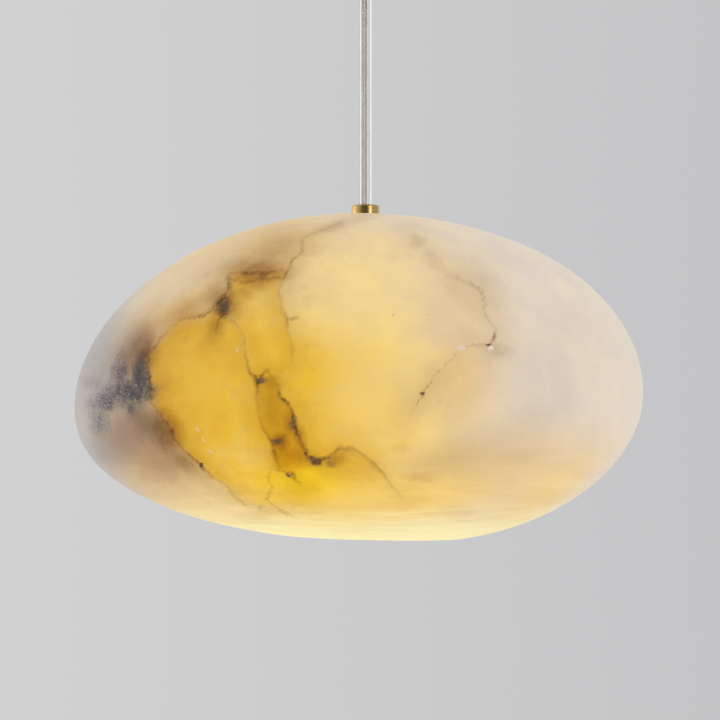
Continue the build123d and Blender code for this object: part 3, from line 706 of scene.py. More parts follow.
# Dark knots where veins meet
KNOTS = smudges(
    (-77, 29, 7.5, 11, 1, -14, 0.05), (-73.5, 41, 4.5, 8, 0.55), (-28, -53.5, 7.5, 4.4, 0.95, -14),
    (-20, -55, 7, 5, 0.5, -30), (-56.5, -10.5, 6, 3.6, 1, 12, 0.1), (-47.5, -43, 5, 3.4, 0.85, 0, 0.1),
    (-88.5, -55.5, 1.4, 1.4, 1, 0, 0.5), (66, 8.5, 2.6, 1.3, 0.95, 0, 0.2),
    (30, -17.5, 1.6, 1.8, 0.9, 0, 0.3), (-39.5, -33, 4.2, 9.5, 0.68, -8), (-42, -61, 5, 1.8, 0.8, -40),
    (-45, -20.5, 3.6, 2.8, 0.75, -20), (-38.5, 23, 6, 2.4, 0.5, 14), (14, 25, 2, 1.4, 0.5, 30),
    (33.5, 24.5, 2, 1.4, 0.35),
)
# Small pale chips
FLECKS = smudges(
    (-90.5, -37, 2.6, 0.9, 0.4, -50), (-87, -43, 0.9, 2.2, 0.5, 20), (-83.5, -49, 3.2, 0.8, 0.45, -35),
    (-69.5, 6, 1.2, 3.4, 0.35), (67, 6.6, 1.8, 1.4, 0.95, 0, 0.3), (51, 7, 4, 2.2, 0.7),
)
# Brown smoke beside the veins
SMOKE = smudges(
    (-58, 47, 32, 15, 1, 4), (-48, 56, 30, 18, 0.42, 24), (-19, 71.5, 22, 4.5, 0.45, 18),
    (-66, 37, 11, 9, 0.6), (-76, 31, 17, 20, 0.95), (-81, 18, 9.5, 17, 0.72, -14),
    (-108, -38, 15, 26, 1, 26), (-98, -53, 18, 10, 0.65, -40), (-50, -26, 12, 28, 0.4, 12),
    (-46, -43, 10, 9, 0.85),
    (-34, -52, 20, 10, 0.6, -16), (-50, -12, 13, 9, 0.6), (-41, -34, 9, 18, 0.55, 14),
    (-36, -40, 7, 14, 0.75, 18), (-17, -53, 13, 7, 0.7, 24), (-119, 4, 13, 22, 0.9, -10),
    (-117, -33, 11, 18, 0.6, 28), (28, -63, 18, 5, 0.26, -4), (18.5, -46, 9, 4.5, 0.2),
    (84, -52, 26, 7, 0.15, 8), (27, 64, 10, 8, 0.4), (36, 54, 16, 8, 0.3, -40), (68, 6, 17, 8, 0.35, -10),
)
# The grey crystal patch at the left end, with its spikes
GREY = smudges(
    (-128, -17, 26, 14, 1, 4), (-121.5, -11, 9, 23, 1, -4), (-133, -8, 8, 24, 0.75, -12),
    (-141, -22, 17, 11, 0.95, 10), (-144, -31, 11, 18, 0.72, 10), (-126, -24, 7, 12, 0.7),
    (-147, -12, 13, 8, 0.5),
)
# Broad colours under the veins, from the left end to the right and then along the bottom: the stone's own
# tones, with painted glow of the lamps in the pale yellow pools and painted shade in the greys and browns at
# the left end
POOLS = (
    Pool(Smudge(-78, 42, 90, 44, 0.85, 30), shown(224, 192, 138)),
    Pool(Smudge(-99, 42, 46, 12, 0.6, 34), shown(220, 198, 166)),
    Pool(Smudge(-48, 60, 36, 20, 0.8, 22), shown(208, 172, 116)),
    Pool(Smudge(-98, 26, 26, 11, 0.75, 32), shown(206, 160, 86)),
    Pool(Smudge(-116, -50, 64, 42, 0.95, -36), shown(188, 152, 110)),
    Pool(Smudge(-146, -4, 42, 52, 0.95), shown(164, 153, 148)),
    Pool(Smudge(-114, 18, 24, 17, 0.7, 35), shown(204, 166, 112)),
    Pool(Smudge(-125, 1, 18, 30, 0.9), shown(156, 124, 96)),
    Pool(Smudge(-141, -49, 22, 20, 0.75), shown(158, 143, 136)),
    Pool(Smudge(-126, -36, 28, 24, 0.85, 30), shown(150, 124, 104)),
    Pool(Smudge(-6, 46, 70, 44, 0.65), shown(250, 221, 150)),
    Pool(Smudge(-3, -24, 34, 40, 0.6), shown(244, 209, 128)),
    Pool(Smudge(52, 32, 34, 40, 0.6, -10), shown(226, 198, 148)),
    Pool(Smudge(46, -14, 48, 34, 0.75, 25), shown(222, 187, 126)),
    Pool(Smudge(96, -10, 46, 60, 0.75, -18), shown(214, 200, 184)),
    Pool(Smudge(66, -62, 110, 36, 0.8, 12), shown(230, 196, 132)),
    Pool(Smudge(72, -42, 48, 22, 0.5, 22), shown(202, 180, 152)),
    Pool(Smudge(94, -72, 52, 17, 0.85, 34), shown(236, 203, 134)),
    Pool(Smudge(40, -54, 44, 18, 0.65, 6), shown(212, 176, 112)),
    Pool(Smudge(-74, -84, 80, 24, 0.8, -12), shown(244, 214, 152)),
)
# Deep yellow pools where the light comes through, under the left and the middle veins
BRIGHT_POOLS = (
    Pool(Smudge(-34, -64, 44, 20, 0.95), shown(246, 200, 26)),
    Pool(Smudge(-6, -60, 32, 16, 0.8, -22), shown(220, 170, 56)),
    Pool(Smudge(-44, -51, 13, 15, 0.95), shown(212, 150, 2)),
    Pool(Smudge(20, -72, 62, 20, 0.75), shown(248, 208, 104)),
    Pool(Smudge(-46, -63, 9, 7.5, 0.8), shown(244, 200, 44)),
    Pool(Smudge(-32, -60.5, 8, 6.5, 0.8, 20), shown(250, 208, 40)),
)


@dataclass(frozen=True)
class Alabaster(Finish):
    """Veined alabaster lit from inside: milky at the ends, honey where it is thin, amber along the veins.

    The pattern is laid out on the front as the eye sees it, and drifts as it runs round to the back. Places
    and spans are in millimetres, and a span goes from where a change starts to where it ends.
    """

    name: str = "alabaster"
    eye_distance: float = 695.0
    middle_height: float = -240.2
    back_span: Span = (-15.0, 100.0)
    back_shift: Place = (-46.0, 14.0)
    drift: float = 60.0
    wobble: float = 3.0
    jag: float = 3.4
    # Where the painted glow of the lamps through the stone is brightest
    warm_middle: Place = (-35.0, -43.0)
    # How far the painted glow of the lamps reaches to the right and the left, and up and down
    warm_sides: tuple[float, float] = (122.0, -102.0)
    warm_heights: tuple[float, float] = (139.0, -91.0)
    warm_stops: tuple[float, ...] = (0.0, 0.35, 0.6, 0.8, 1.0)
    left_field_foot: Span = (-86.0, -72.0)
    left_field_share: float = 0.92
    small_field_foot: Span = (-72.0, -58.0)
    small_field_share: float = 0.88
    streaks_span: Span = (-36.0, -66.0)
    crystal_span: Span = (-150.0, -118.0)
    end_span: Span = (92.0, 138.0)
    end_front: Span = (-82.0, -26.0)
    end_back: Span = (-12.0, 34.0)
    end_change: Span = (-60.0, 60.0)
    hollow_span: Span = (4.0, -4.0)
    hollow_share: float = 0.75
    rim_span: Span = (-305.0, -328.0)
    rim_share: float = 0.95
    rim_left: Span = (-110.0, -30.0)
    rim_right: Span = (25.0, 85.0)
    milk: Colour = shown(227, 213, 198)
    cream: Colour = shown(232, 207, 160)
    butter: Colour = shown(243, 210, 128)
    honey: Colour = shown(236, 188, 56)
    amber: Colour = shown(204, 144, 0)
    vein_brown: Colour = shown(84, 50, 26)
    knot_brown: Colour = shown(82, 66, 56)
    stain_brown: Colour = shown(168, 134, 92)
    grey_dark: Colour = shown(70, 66, 68)
    grey_light: Colour = shown(176, 170, 166)
    fleck: Colour = shown(222, 214, 206)
    left_end: Colour = shown(177, 173, 171)
    right_end: Colour = shown(217, 208, 195)
    rim_glow: Colour = shown(255, 242, 178)
    hollow_glow: Colour = shown(255, 234, 176)
    body_share: float = 0.42
    glow_share: float = 0.645
    sheen: float = 0.12
    relief: float = 0.0003

    def paint(self, sheet: NodeSheet) -> None:
        """Lay out the material's nodes.

        Args:
            sheet: The material's node sheet.
        """
        ground = self.ground(sheet)
        line, stain, sides = 0.0, 0.0, {}
        for vein in VEINS:
            marks = vein.marks(ground)
            line, stain = sheet.most((line, marks.line)), sheet.most((stain, marks.stain))
            sides[vein] = marks.side
        colour = self.fields(ground, sides)
        smoke = sheet.times(gathered(ground, SMOKE), sheet.scale(ground.grain, 0.28, 0.68, 0.72, 1.08))
        stained = sheet.blend(1.0, colour, self.stain_brown, "MULTIPLY")
        colour = sheet.blend(sheet.most((smoke, stain)), colour, stained)
        patch = self.grey_patch(ground)
        pale = sheet.plus(ground.sparkle, sheet.scale(ground.across, *self.crystal_span, 0.12, -0.08))
        crystals = sheet.blend(sheet.step(pale, 0.52, 0.74), self.grey_dark, self.grey_light)
        colour = sheet.blend(patch, colour, crystals)
        knots = sheet.times(gathered(ground, KNOTS), sheet.spread(ground.beads, 0.55, 1.4))
        colour = sheet.blend(sheet.step(knots, 0.1, 1.0, 0.0, 0.9), colour, self.knot_brown)
        colour = sheet.blend(line, colour, self.vein_brown)
        colour = sheet.blend(gathered(ground, FLECKS), colour, self.fleck)
        colour = self.rim(ground, self.ends(ground, colour))
        colour = sheet.blend(self.hollow(ground), colour, self.hollow_glow)
        colour = sheet.dimmed(colour, sheet.spread(ground.sparkle, 0.98, 1.02))
        grains, pits = sheet.times(ground.sparkle, 0.8), sheet.times(ground.beads, 0.2)
        height = sheet.math("MULTIPLY_ADD", patch, grains, pits)
        sheet.surface(
            Base_Color=sheet.blend(1.0, colour, grey(self.body_share), "MULTIPLY"),
            Roughness=sheet.scale(sheet.plus(patch, ground.sparkle), 0.4, 1.4, 0.48, 0.62),
            Specular_IOR_Level=self.sheen,
            Emission_Color=colour,
            Emission_Strength=self.glow_share,
            Normal=sheet.bump(height, 0.3, self.relief),
        )

    def ground(self, sheet: NodeSheet) -> Ground:
        """Find where places lie on the front as the eye sees it, bent by noise as stone is.

        Args:
            sheet: The stone's node sheet.

        Returns:
            The places with the noises that the marks use.
        """
        place = sheet.object_place()
        x, y, z = sheet.apart(place)
        nearer = sheet.math("DIVIDE", self.eye_distance, sheet.plus(y, self.eye_distance))
        straight = sheet.times(x, nearer), sheet.times(sheet.math("SUBTRACT", z, self.middle_height), nearer)
        back = sheet.step(y, *self.back_span)
        drift = sheet.noise(place, 0.016, 2.0, 0.5, 1)
        wobble = sheet.noise(place, 0.05, 2.0, 0.5, 1)
        jag = sheet.noise(place, 0.28, 3.0, 0.65, 1)
        bent = []
        for axis, push in enumerate(self.back_shift):
            drifting = self.swing(sheet, drift, axis, self.drift)
            far = sheet.math("MULTIPLY_ADD", drifting, back, straight[axis])
            far = sheet.math("MULTIPLY_ADD", back, push, far)
            near = sheet.plus(far, self.swing(sheet, wobble, axis, self.wobble))
            bent.append(sheet.plus(near, self.swing(sheet, jag, axis, self.jag)))
        return Ground(
            sheet, place, *bent, sheet.joined(*bent, 0.0),
            clouds=sheet.noise(place, 0.045, 4.0, 0.6),
            grain=sheet.noise(place, 0.13, 3.0, 0.6),
            beads=sheet.noise(place, 0.55, 3.0, 0.65),
            sparkle=sheet.noise(place, 1.5, 2.0, 0.7),
        )

    @staticmethod
    def swing(sheet: NodeSheet, noise: Socket, axis: int, reach: float) -> Socket:
        """Return one channel of a noise's colour, swinging about zero by a reach."""
        channel = sheet.node("SeparateColor", {0: noise}).outputs[axis]
        return sheet.math("MULTIPLY_ADD", channel, reach, -reach / 2)

    def fields(self, ground: Ground, sides: dict[Vein, Socket]) -> Socket:
        """Colour the fields between the veins, over a painted glow of the lamps round the stone's middle.

        Args:
            ground: What they are drawn on.
            sides: Which side of each vein a place is on.

        Returns:
            The colour, without the veins.
        """
        sheet, across, up = ground.sheet, ground.across, ground.up
        aside, above = sheet.plus(across, -self.warm_middle[0]), sheet.plus(up, -self.warm_middle[1])
        wide = sheet.most(sheet.math("DIVIDE", aside, reach) for reach in self.warm_sides)
        tall = sheet.most(sheet.math("DIVIDE", above, reach) for reach in self.warm_heights)
        uneven = sheet.spread(ground.clouds, -0.06, 0.06)
        # Painted glow of the lamps, brightest round the middle and fading outwards
        glow = sheet.step(sheet.distance(wide, tall), 1.25, 0.1, 0.02, 0.82)
        colour = pooled(ground, self.warm(sheet, sheet.plus(glow, uneven)), POOLS)
        right_of_left = sheet.step(sides[LEFT_VEIN], -5.0, 4.0)
        under_crown = sheet.step(sides[LEFT_CROWN_VEIN], 6.0, -6.0)
        left_of_inner = sheet.step(sides[INNER_VEIN], 3.0, -3.0)
        left_of_middle = sheet.step(sides[MIDDLE_VEIN], 3.0, -3.0)
        above_foot = sheet.step(up, *self.left_field_foot)
        inside = sheet.times(right_of_left, under_crown, sheet.times(left_of_inner, above_foot))
        sideways = sheet.scale(across, -116.0, -66.0, 0.9, 0.8)
        depth = sheet.plus(sideways, sheet.scale(up, -42.0, -74.0, 0.0, -0.1), uneven)
        colour = sheet.blend(sheet.times(inside, self.left_field_share), colour, self.warm(sheet, depth))
        right_of_inner = sheet.math("SUBTRACT", 1.0, left_of_inner)
        above_foot = sheet.step(up, *self.small_field_foot)
        inside = sheet.times(right_of_inner, left_of_middle, under_crown, above_foot)
        depth = sheet.plus(sheet.step(up, 2.0, -16.0, 0.77, 0.93), uneven)
        colour = sheet.blend(sheet.times(inside, self.small_field_share), colour, self.warm(sheet, depth))
        colour = pooled(ground, colour, BRIGHT_POOLS)
        level = sheet.joined(sheet.times(across, 0.025), sheet.times(up, 0.16), 0.0)
        streaks = sheet.spread(sheet.noise(level, 1.0, 3.0, 0.6), 0.93, 1.05)
        cloudy = sheet.spread(ground.clouds, 0.94, 1.05)
        return sheet.dimmed(colour, sheet.between(sheet.step(up, *self.streaks_span), cloudy, streaks))

    def warm(self, sheet: NodeSheet, warmth: Socket) -> Socket:
        """Return the stone's colour for a warmth, from milk at zero to amber at one."""
        colours = (self.milk, self.cream, self.butter, self.honey, self.amber)
        return sheet.ramp(warmth, tuple(zip(self.warm_stops, colours)))

    @staticmethod
    def grey_patch(ground: Ground) -> Socket:
        """Work out how grey the stone is, in lobes with a ragged edge of fine grains.

        Args:
            ground: What the patch is drawn on.

        Returns:
            The share of grey.
        """
        sheet = ground.sheet
        whole = gathered(ground, GREY)
        fine = sheet.math("MULTIPLY_ADD", ground.beads, 0.7, sheet.times(ground.sparkle, 1.1))
        rough = sheet.math("MULTIPLY_ADD", ground.grain, 0.7, fine)
        ragged = sheet.times(whole, sheet.scale(rough, 0.85, 1.65, 0.3, 1.9))
        return sheet.step(ragged, 0.04, 0.98, 0.0, 0.95)

    def ends(self, ground: Ground, colour: Socket) -> Socket:
        """Dull the stone's two ends, where it turns away from the front and less light comes through.

        Args:
            ground: What they are drawn on.
            colour: The stone's colour so far.

        Returns:
            The colour with dull ends.
        """
        sheet = ground.sheet
        x, y, _ = sheet.apart(ground.place)
        start, full = self.end_span
        outer = sheet.most((sheet.step(x, -start, -full), sheet.step(x, start, full)))
        past_front = sheet.step(y, *self.end_front, 0.0, 0.85)
        turned = sheet.times(past_front, sheet.step(y, *self.end_back, 1.0, 0.25))
        dull = sheet.blend(sheet.step(x, *self.end_change), self.left_end, self.right_end)
        return sheet.blend(sheet.times(outer, turned), colour, dull)

    def hollow(self, ground: Ground) -> Socket:
        """Find the walls of the hollow, which face the stone's middle and are the brightest.

        Args:
            ground: What they are drawn on.

        Returns:
            The share of the lamps' light.
        """
        sheet, middle = ground.sheet, (0.0, 0.0, self.middle_height)
        away = sheet.node("VectorMath", {0: ground.place, 1: middle}, operation="SUBTRACT").outputs[0]
        normal = sheet.node("TexCoord").outputs["Normal"]
        facing = sheet.node("VectorMath", {0: away, 1: normal}, operation="DOT_PRODUCT").outputs["Value"]
        return sheet.step(facing, *self.hollow_span, 0.0, self.hollow_share)

    def rim(self, ground: Ground, colour: Socket) -> Socket:
        """Add the light that leaves the stone near its lower opening, in thin level streaks.

        Args:
            ground: What it is drawn on.
            colour: The stone's colour so far.

        Returns:
            The colour with the glow.
        """
        sheet = ground.sheet
        x, _, up = sheet.apart(ground.place)
        streaks = sheet.noise(sheet.stretched(ground.place, 0.03, 0.03, 0.35), 1.0, 3.0, 0.6)
        level = sheet.plus(up, sheet.spread(streaks, -4.0, 4.0))
        leftward = sheet.step(x, *self.rim_left, 0.4, 1.0)
        sideways = sheet.times(leftward, sheet.step(x, *self.rim_right, 1.0, 0.5))
        share = sheet.times(sheet.step(level, *self.rim_span, 0.0, self.rim_share), sideways)
        return sheet.blend(share, colour, self.rim_glow)


BRASS = TurnedMetal("satin_brass", shown(218, 184, 118), shown(150, 114, 58), gloss=0.24)
STEEL = TurnedMetal("zinc_steel", shown(188, 190, 192), shown(128, 132, 138), gloss=0.36)
COPPER = TurnedMetal("tinned_copper", shown(244, 243, 240), shown(208, 206, 202), gloss=0.5)
NYLON = MouldedPlastic("white_nylon", shown(232, 230, 222), shown(212, 208, 196), gloss=0.45)
INSULATION = MouldedPlastic("wire_insulation", shown(206, 200, 190), shown(182, 174, 162), gloss=0.4)
RUBBER = MouldedPlastic("black_rubber", shown(38, 37, 36), shown(24, 24, 24), gloss=0.7, grain=4.0)
SILICONE = MouldedPlastic("clear_silicone", shown(216, 212, 202), shown(196, 190, 176), gloss=0.4)
FLOOR = MouldedPlastic("pale_floor", shown(240, 239, 237), shown(234, 233, 231), gloss=0.6, grain=0.05)
# The dark tone carries the painted warm cast of the lamps
CERAMIC = GlazedCeramic("white_ceramic", shown(238, 234, 224), shown(214, 204, 186))
LAMP_GLASS = FrostedGlow(
    "frosted_glass", shown(255, 244, 216), shown(250, 222, 170), base=-217.8, tip=-261.8, strength=0.8
)
LAMP_STICK = FrostedGlow(
    "light_stick", shown(255, 232, 170), shown(250, 200, 110), base=-217.8, tip=-249.8, strength=0.8
)
CLEAR_JACKET = ClearPlastic(
    "clear_jacket", shown(250, 248, 244), shown(240, 236, 229), bend=1.47, gloss=0.06
)
STONE = Alabaster()


def add_mesh(name: str, points: np.ndarray, faces: list[tuple[int, ...]]) -> bpy.types.Object:
    """Make a smooth mesh object.

    Args:
        name: Its name.
        points: Its points in metres, one row each.
        faces: Its faces as point numbers.

    Returns:
        The new object, in the scene.
    """
    mesh = bpy.data.meshes.new(name)
    mesh.from_pydata(points.tolist(), [], faces)
    mesh.shade_smooth()
    return add_object(name, mesh)


def add_object(name: str, data: bpy.types.ID) -> bpy.types.Object:
    """Put a mesh, curve, camera or lamp into the scene as an object.

    Args:
        name: Its name.
        data: What it shows.

    Returns:
        The new object.
    """
    piece = bpy.data.objects.new(name, data)
    bpy.context.scene.collection.objects.link(piece)
    return piece


def full_turn(points: int) -> np.ndarray:
    """Return evenly spaced angles round a circle."""
    return np.linspace(0, 2 * pi, points, endpoint=False)


def wrapped_faces(rings: int, turns: int, closed: bool) -> list[tuple[int, ...]]:
    """List the four-sided faces of a grid that goes round.

    Args:
        rings: How many rings of points there are.
        turns: How many points there are in a ring.
        closed: Whether the last ring joins the first.

    Returns:
        The faces.
    """
    faces = []
    for ring in range(rings if closed else rings - 1):
        here, after = ring * turns, (ring + 1) % rings * turns
        for turn in range(turns):
            beside = (turn + 1) % turns
            faces.append((here + turn, after + turn, after + beside, here + beside))
    return faces


@dataclass
class Shade:
    """The hollow stone pebble, carved by hand, with its round opening below. Sizes are in millimetres."""

    left_reach: float = 153.4
    right_reach: float = 146.4
    apex_offset: float = -7.0
    nadir_offset: float = 31.8
    seat: float = -163.0
    apex_rise: float = 1.0
    left_tip_drop: float = 100.7
    right_tip_drop: float = 94.5
    nadir_drop: float = 172.3
    left_top_power: float = 1.9
    right_top_power: float = 2.08
    left_bottom_power: float = 2.3
    right_bottom_power: float = 1.9
    depth_ratio: float = 0.84
    wall: float = 11.0
    hollow_shift: float = -0.85
    opening: float = 55.0
    hole: float = 5.3
    washer_ring: float = 12.0
    pocket: float = 20.0
    rim_round: float = 2.6
    carving: float = 0.2
    carving_fade: float = 30.0
    crease: float = 50.0
    turns: int = 384
    upper_rings: int = 70
    lower_rings: int = 64
    inner_rings: int = 34
    rim_rings: int = 5
    halvings: int = 48

    def level(self, height: np.ndarray, inset: float) -> tuple[np.ndarray, np.ndarray]:
        """Find the oval section at each height.

        Args:
            height: The heights.
            inset: How far the surface lies inside the outer one.

        Returns:
            The middle across and the half width of each section.
        """
        apex, nadir = self.seat + self.apex_rise - inset, self.seat - self.nadir_drop + inset
        sides = []
        for reach, drop, top_power, bottom_power in (
            (inset - self.left_reach, self.left_tip_drop, self.left_top_power, self.left_bottom_power),
            (self.right_reach - inset, self.right_tip_drop, self.right_top_power, self.right_bottom_power),
        ):
            tip = self.seat - drop
            above = height > tip
            part = np.where(above, (height - tip) / (apex - tip), (tip - height) / (tip - nadir))
            power = np.where(above, top_power, bottom_power)
            pole = np.where(above, self.apex_offset, self.nadir_offset)
            share = (1 - np.clip(part, 0.0, 1.0) ** power) ** (1 / power)
            sides.append(pole + (reach - pole) * share)
        shift = self.hollow_shift if inset else 0.0
        return (sides[0] + sides[1]) / 2 + shift, np.maximum((sides[1] - sides[0]) / 2, 1e-6)

    def widest(self, upper: bool) -> float:
        """Return the height where the upper or the lower half is widest."""
        return self.seat - (self.right_tip_drop if upper else self.left_tip_drop)

    def surface_height(self, across: np.ndarray, deep: np.ndarray, inset: float, upper: bool) -> np.ndarray:
        """Find how high the surface lies over or under each place of the plan.

        Args:
            across: Places along X.
            deep: Places along Y.
            inset: How far the surface lies inside the outer one.
            upper: Whether the upper or the lower surface is meant.

        Returns:
            The heights.
        """
        inner = np.full_like(across, self.widest(upper))
        outer = np.full_like(across, self.seat - inset if upper else self.seat - self.nadir_drop + inset)
        for _ in range(self.halvings):
            middle = (inner + outer) / 2
            centre, half = self.level(middle, inset)
            inside = ((across - centre) / half) ** 2 + (deep / (self.depth_ratio * half)) ** 2 < 1
            inner, outer = np.where(inside, middle, inner), np.where(inside, outer, middle)
        return (inner + outer) / 2

    def half(self, inset: float, upper: bool, start: float, steps: int) -> list[np.ndarray]:
        """Lay rings from a circle about the cord to the widest level of one half.

        Args:
            inset: How far the surface lies inside the outer one.
            upper: Whether the upper or the lower half is meant.
            start: The circle's radius.
            steps: How many rings there are.

        Returns:
            The rings, from the circle outwards.
        """
        angle, edge = full_turn(self.turns), self.widest(upper)
        centre, half = self.level(np.array([edge]), inset)
        wide_x, wide_y = centre + half * np.cos(angle), self.depth_ratio * half * np.sin(angle)
        near_x, near_y = start * np.cos(angle), start * np.sin(angle)
        rings = []
        for step in range(steps):
            share = sin(pi / 2 * step / steps)
            across, deep = near_x + (wide_x - near_x) * share, near_y + (wide_y - near_y) * share
            rings.append(np.column_stack([across, deep, self.surface_height(across, deep, inset, upper)]))
        rings.append(np.column_stack([wide_x, wide_y, np.full(self.turns, edge)]))
        return rings

    def rounded(self, first: np.ndarray, corner: np.ndarray, last: np.ndarray) -> list[np.ndarray]:
        """Return the rings that round a rim from a first ring past a sharp corner's ring to a last one."""
        parts = [(step + 1) / (self.rim_rings + 1) for step in range(self.rim_rings)]
        return [(1 - t) ** 2 * first + 2 * t * (1 - t) * corner + t**2 * last for t in parts]

    def circle(self, radius: float, height: float | np.ndarray) -> np.ndarray:
        """Return a ring of points about the cord."""
        angle, heights = full_turn(self.turns), np.broadcast_to(height, (self.turns,))
        return np.column_stack([radius * np.cos(angle), radius * np.sin(angle), heights])

    def carved(self, ring: np.ndarray) -> np.ndarray:
        """Press a hand-carved unevenness into a ring of the outside.

        Args:
            ring: The ring's points.

        Returns:
            The uneven ring.
        """
        x, y, z = ring.T / MM_PER_M
        wave = np.sin(71 * x + 43 * y + 1.3) + np.sin(-52 * x + 66 * z + 0.4) + np.sin(59 * y - 48 * z + 2.1)
        away = ring - np.array([0.0, 0.0, self.widest(False)])
        reach = np.linalg.norm(away, axis=1, keepdims=True)
        past_rim = (np.hypot(ring[:, 0], ring[:, 1]) - self.opening) / self.carving_fade
        depth = wave * (np.clip(past_rim, 0, 1) * self.carving / 3)
        return ring + away / reach * depth[:, None]

    def build(self) -> bpy.types.Object:
        """Build the stone as one closed skin and dress it.

        Returns:
            The stone.
        """
        lip = self.opening + self.rim_round
        outside = self.half(0.0, True, self.hole, self.upper_rings)
        outside += self.half(0.0, False, lip, self.lower_rings)[::-1]
        rings = [self.carved(ring) for ring in outside]
        flat = self.circle(self.opening, 0.0)
        low = self.surface_height(flat[:, 0], flat[:, 1], 0.0, False)
        high = self.surface_height(flat[:, 0], flat[:, 1], self.wall, False)
        wall_low = self.circle(self.opening, low + self.rim_round)
        wall_high = self.circle(self.opening, high - self.rim_round)
        inner_lower = self.half(self.wall, False, lip, self.inner_rings)
        inner_upper = self.half(self.wall, True, self.pocket, self.inner_rings)[::-1]
        rings += self.rounded(rings[-1], self.circle(self.opening, low), wall_low)
        rings += [wall_low, (wall_low + wall_high) / 2, wall_high]
        rings += self.rounded(wall_high, self.circle(self.opening, high), inner_lower[0])
        rings += inner_lower + inner_upper
        inner_seat = self.seat - self.wall
        rings += [self.circle(radius, inner_seat) for radius in (self.pocket, self.washer_ring, self.hole)]
        rings.append(self.circle(self.hole, (inner_seat + self.seat) / 2))
        faces = wrapped_faces(len(rings), self.turns, True)
        stone = add_mesh("shade_stone", np.vstack(rings) / MM_PER_M, faces)
        stone.data.set_sharp_from_angle(angle=radians(self.crease))
        STONE.dress(stone)
        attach(stone, "pendant")
        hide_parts("shade")
        return stone


@dataclass
class Cord:
    """The clear cord with its two stranded cores. Sizes are in millimetres."""

    radius: float = 3.2
    top: float = -27.6
    base: float = -200.3
    core_offset: float = -0.4
    core_pitch: float = 1.14
    core_radius: float = 0.44
    strands: int = 6
    lay_length: float = 26.0
    sides: int = 6
    rings_per_turn: int = 30
    roundness: int = 10
    route: tuple[float, ...] = (-200.3, -160.0, -115.0, -70.0, -27.6)

    def build(self) -> bpy.types.Object:
        """Returns:
            The jacket.
        """
        curve = bpy.data.curves.new("cord_clear_jacket", "CURVE")
        curve.dimensions = "3D"
        curve.bevel_depth, curve.bevel_resolution = self.radius / MM_PER_M, self.roundness
        curve.use_fill_caps = True
        spline = curve.splines.new("NURBS")
        spline.points.add(len(self.route) - 1)
        for point, height in zip(spline.points, self.route):
            point.co = (0.0, 0.0, height / MM_PER_M, 1.0)
        spline.order_u = 3
        spline.use_endpoint_u = True
        jacket = add_object("cord_clear_jacket", curve)
        CLEAR_JACKET.dress(jacket)
        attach(jacket, "cord")
        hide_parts("cord_jacket")
        cores = [self.core("live_core", -0.5), self.core("neutral_core", 0.5)]
        return jacket

    def core(self, node: str, side: float) -> bpy.types.Object:
        """Build one core of twisted strands round a middle strand.

        Args:
            node: The CAD node that it stands for.
            side: Its place across, in pitches.

        Returns:
            The core.
        """
        strand = self.core_radius / 3
        middle = self.core_offset + side * self.core_pitch
        rings = int((self.top - self.base) / self.lay_length * self.rings_per_turn)
        heights = np.linspace(self.base, self.top, rings)
        angle = full_turn(self.sides)
        strip = [face[::-1] for face in wrapped_faces(rings, self.sides, False)]
        cap = tuple(range(self.sides))
        strip += [cap[::-1], tuple((rings - 1) * self.sides + corner for corner in cap)]
        points, faces = [], []
        for index in range(self.strands + 1):
            reach = 0.0 if index == self.strands else 2 * strand
            turn = 2 * pi * (heights / self.lay_length + index / self.strands)
            for x, y, z in zip(middle + reach * np.cos(turn), reach * np.sin(turn), heights):
                ring = [x + strand * np.cos(angle), y + strand * np.sin(angle), np.full(self.sides, z)]
                points.append(np.column_stack(ring))
            first = index * rings * self.sides
            faces += [tuple(first + corner for corner in face) for face in strip]
        core = add_mesh(f"{node}_strands", np.vstack(points) / MM_PER_M, faces)
        COPPER.dress(core)
        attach(core, "cord")
        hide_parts(node)
        return core


@dataclass
class Metalwork:
    """The pieces that keep the shape of their solids and only need their finishes.

    A name with braces stands for one piece of each lamp.
    """

    lamps: int = 3
    finishes: dict[Finish, tuple[str, ...]] = field(
        default_factory=lambda: {
            BRASS: (
                "canopy", "canopy_screws", "gland_body", "gland_nut", "cap", "cord_stop", "cord_end_ferrule",
                "terminal_barrels",
            ),
            STEEL: (
                "nipple", "shade_nut", "carrier_nut", "holder_contacts", "ceiling_bracket",
                "terminal_screws", "terminal_fixing_screw", "earth_washer", "earth_screw", "gland_washer",
                "cap_screw", "spreader_washer", "lamp_carrier", "holder_screws", "lamp_{}_pins",
            ),
            NYLON: ("terminal_block", "junction_puck", "gland_bush"),
            INSULATION: ("cord_tails", "lamp_leads"),
            SILICONE: ("cap_gasket",),
            RUBBER: ("inner_gasket",),
            CERAMIC: ("lamp_holder_{}", "lamp_{}_base"),
            LAMP_GLASS: ("lamp_{}_envelope",),
            LAMP_STICK: ("lamp_{}_stick",),
        }
    )

    def dress(self, nodes: dict[str, bpy.types.Object]) -> int:
        """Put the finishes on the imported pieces.

        Args:
            nodes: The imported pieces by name.

        Returns:
            How many pieces were dressed.
        """
        dressed = set()
        for finish, names in self.finishes.items():
            chosen = {name.format(number) for name in names for number in range(1, self.lamps + 1)}
            for name in sorted(chosen):
                finish.dress(nodes[name])
            dressed |= chosen
        return len(dressed)


@dataclass(frozen=True)
class SoftLamp:
    """A soft upright lamp: its place, width and height in metres, and its power in watts."""

    place: tuple[float, float, float]
    width: float
    height: float
    power: float

    def hang(self, name: str, target: Vector) -> None:
        """Hang the lamp so that it faces a target.

        Args:
            name: Its name.
            target: The place that it faces.
        """
        light = bpy.data.lights.new(name, "AREA")
        light.shape = "RECTANGLE"
        light.size, light.size_y, light.energy = self.width, self.height, self.power
        lamp = add_object(name, light)
        lamp.location = self.place
        lamp.rotation_euler = (Vector(self.place) - target).to_track_quat("Z", "Y").to_euler()


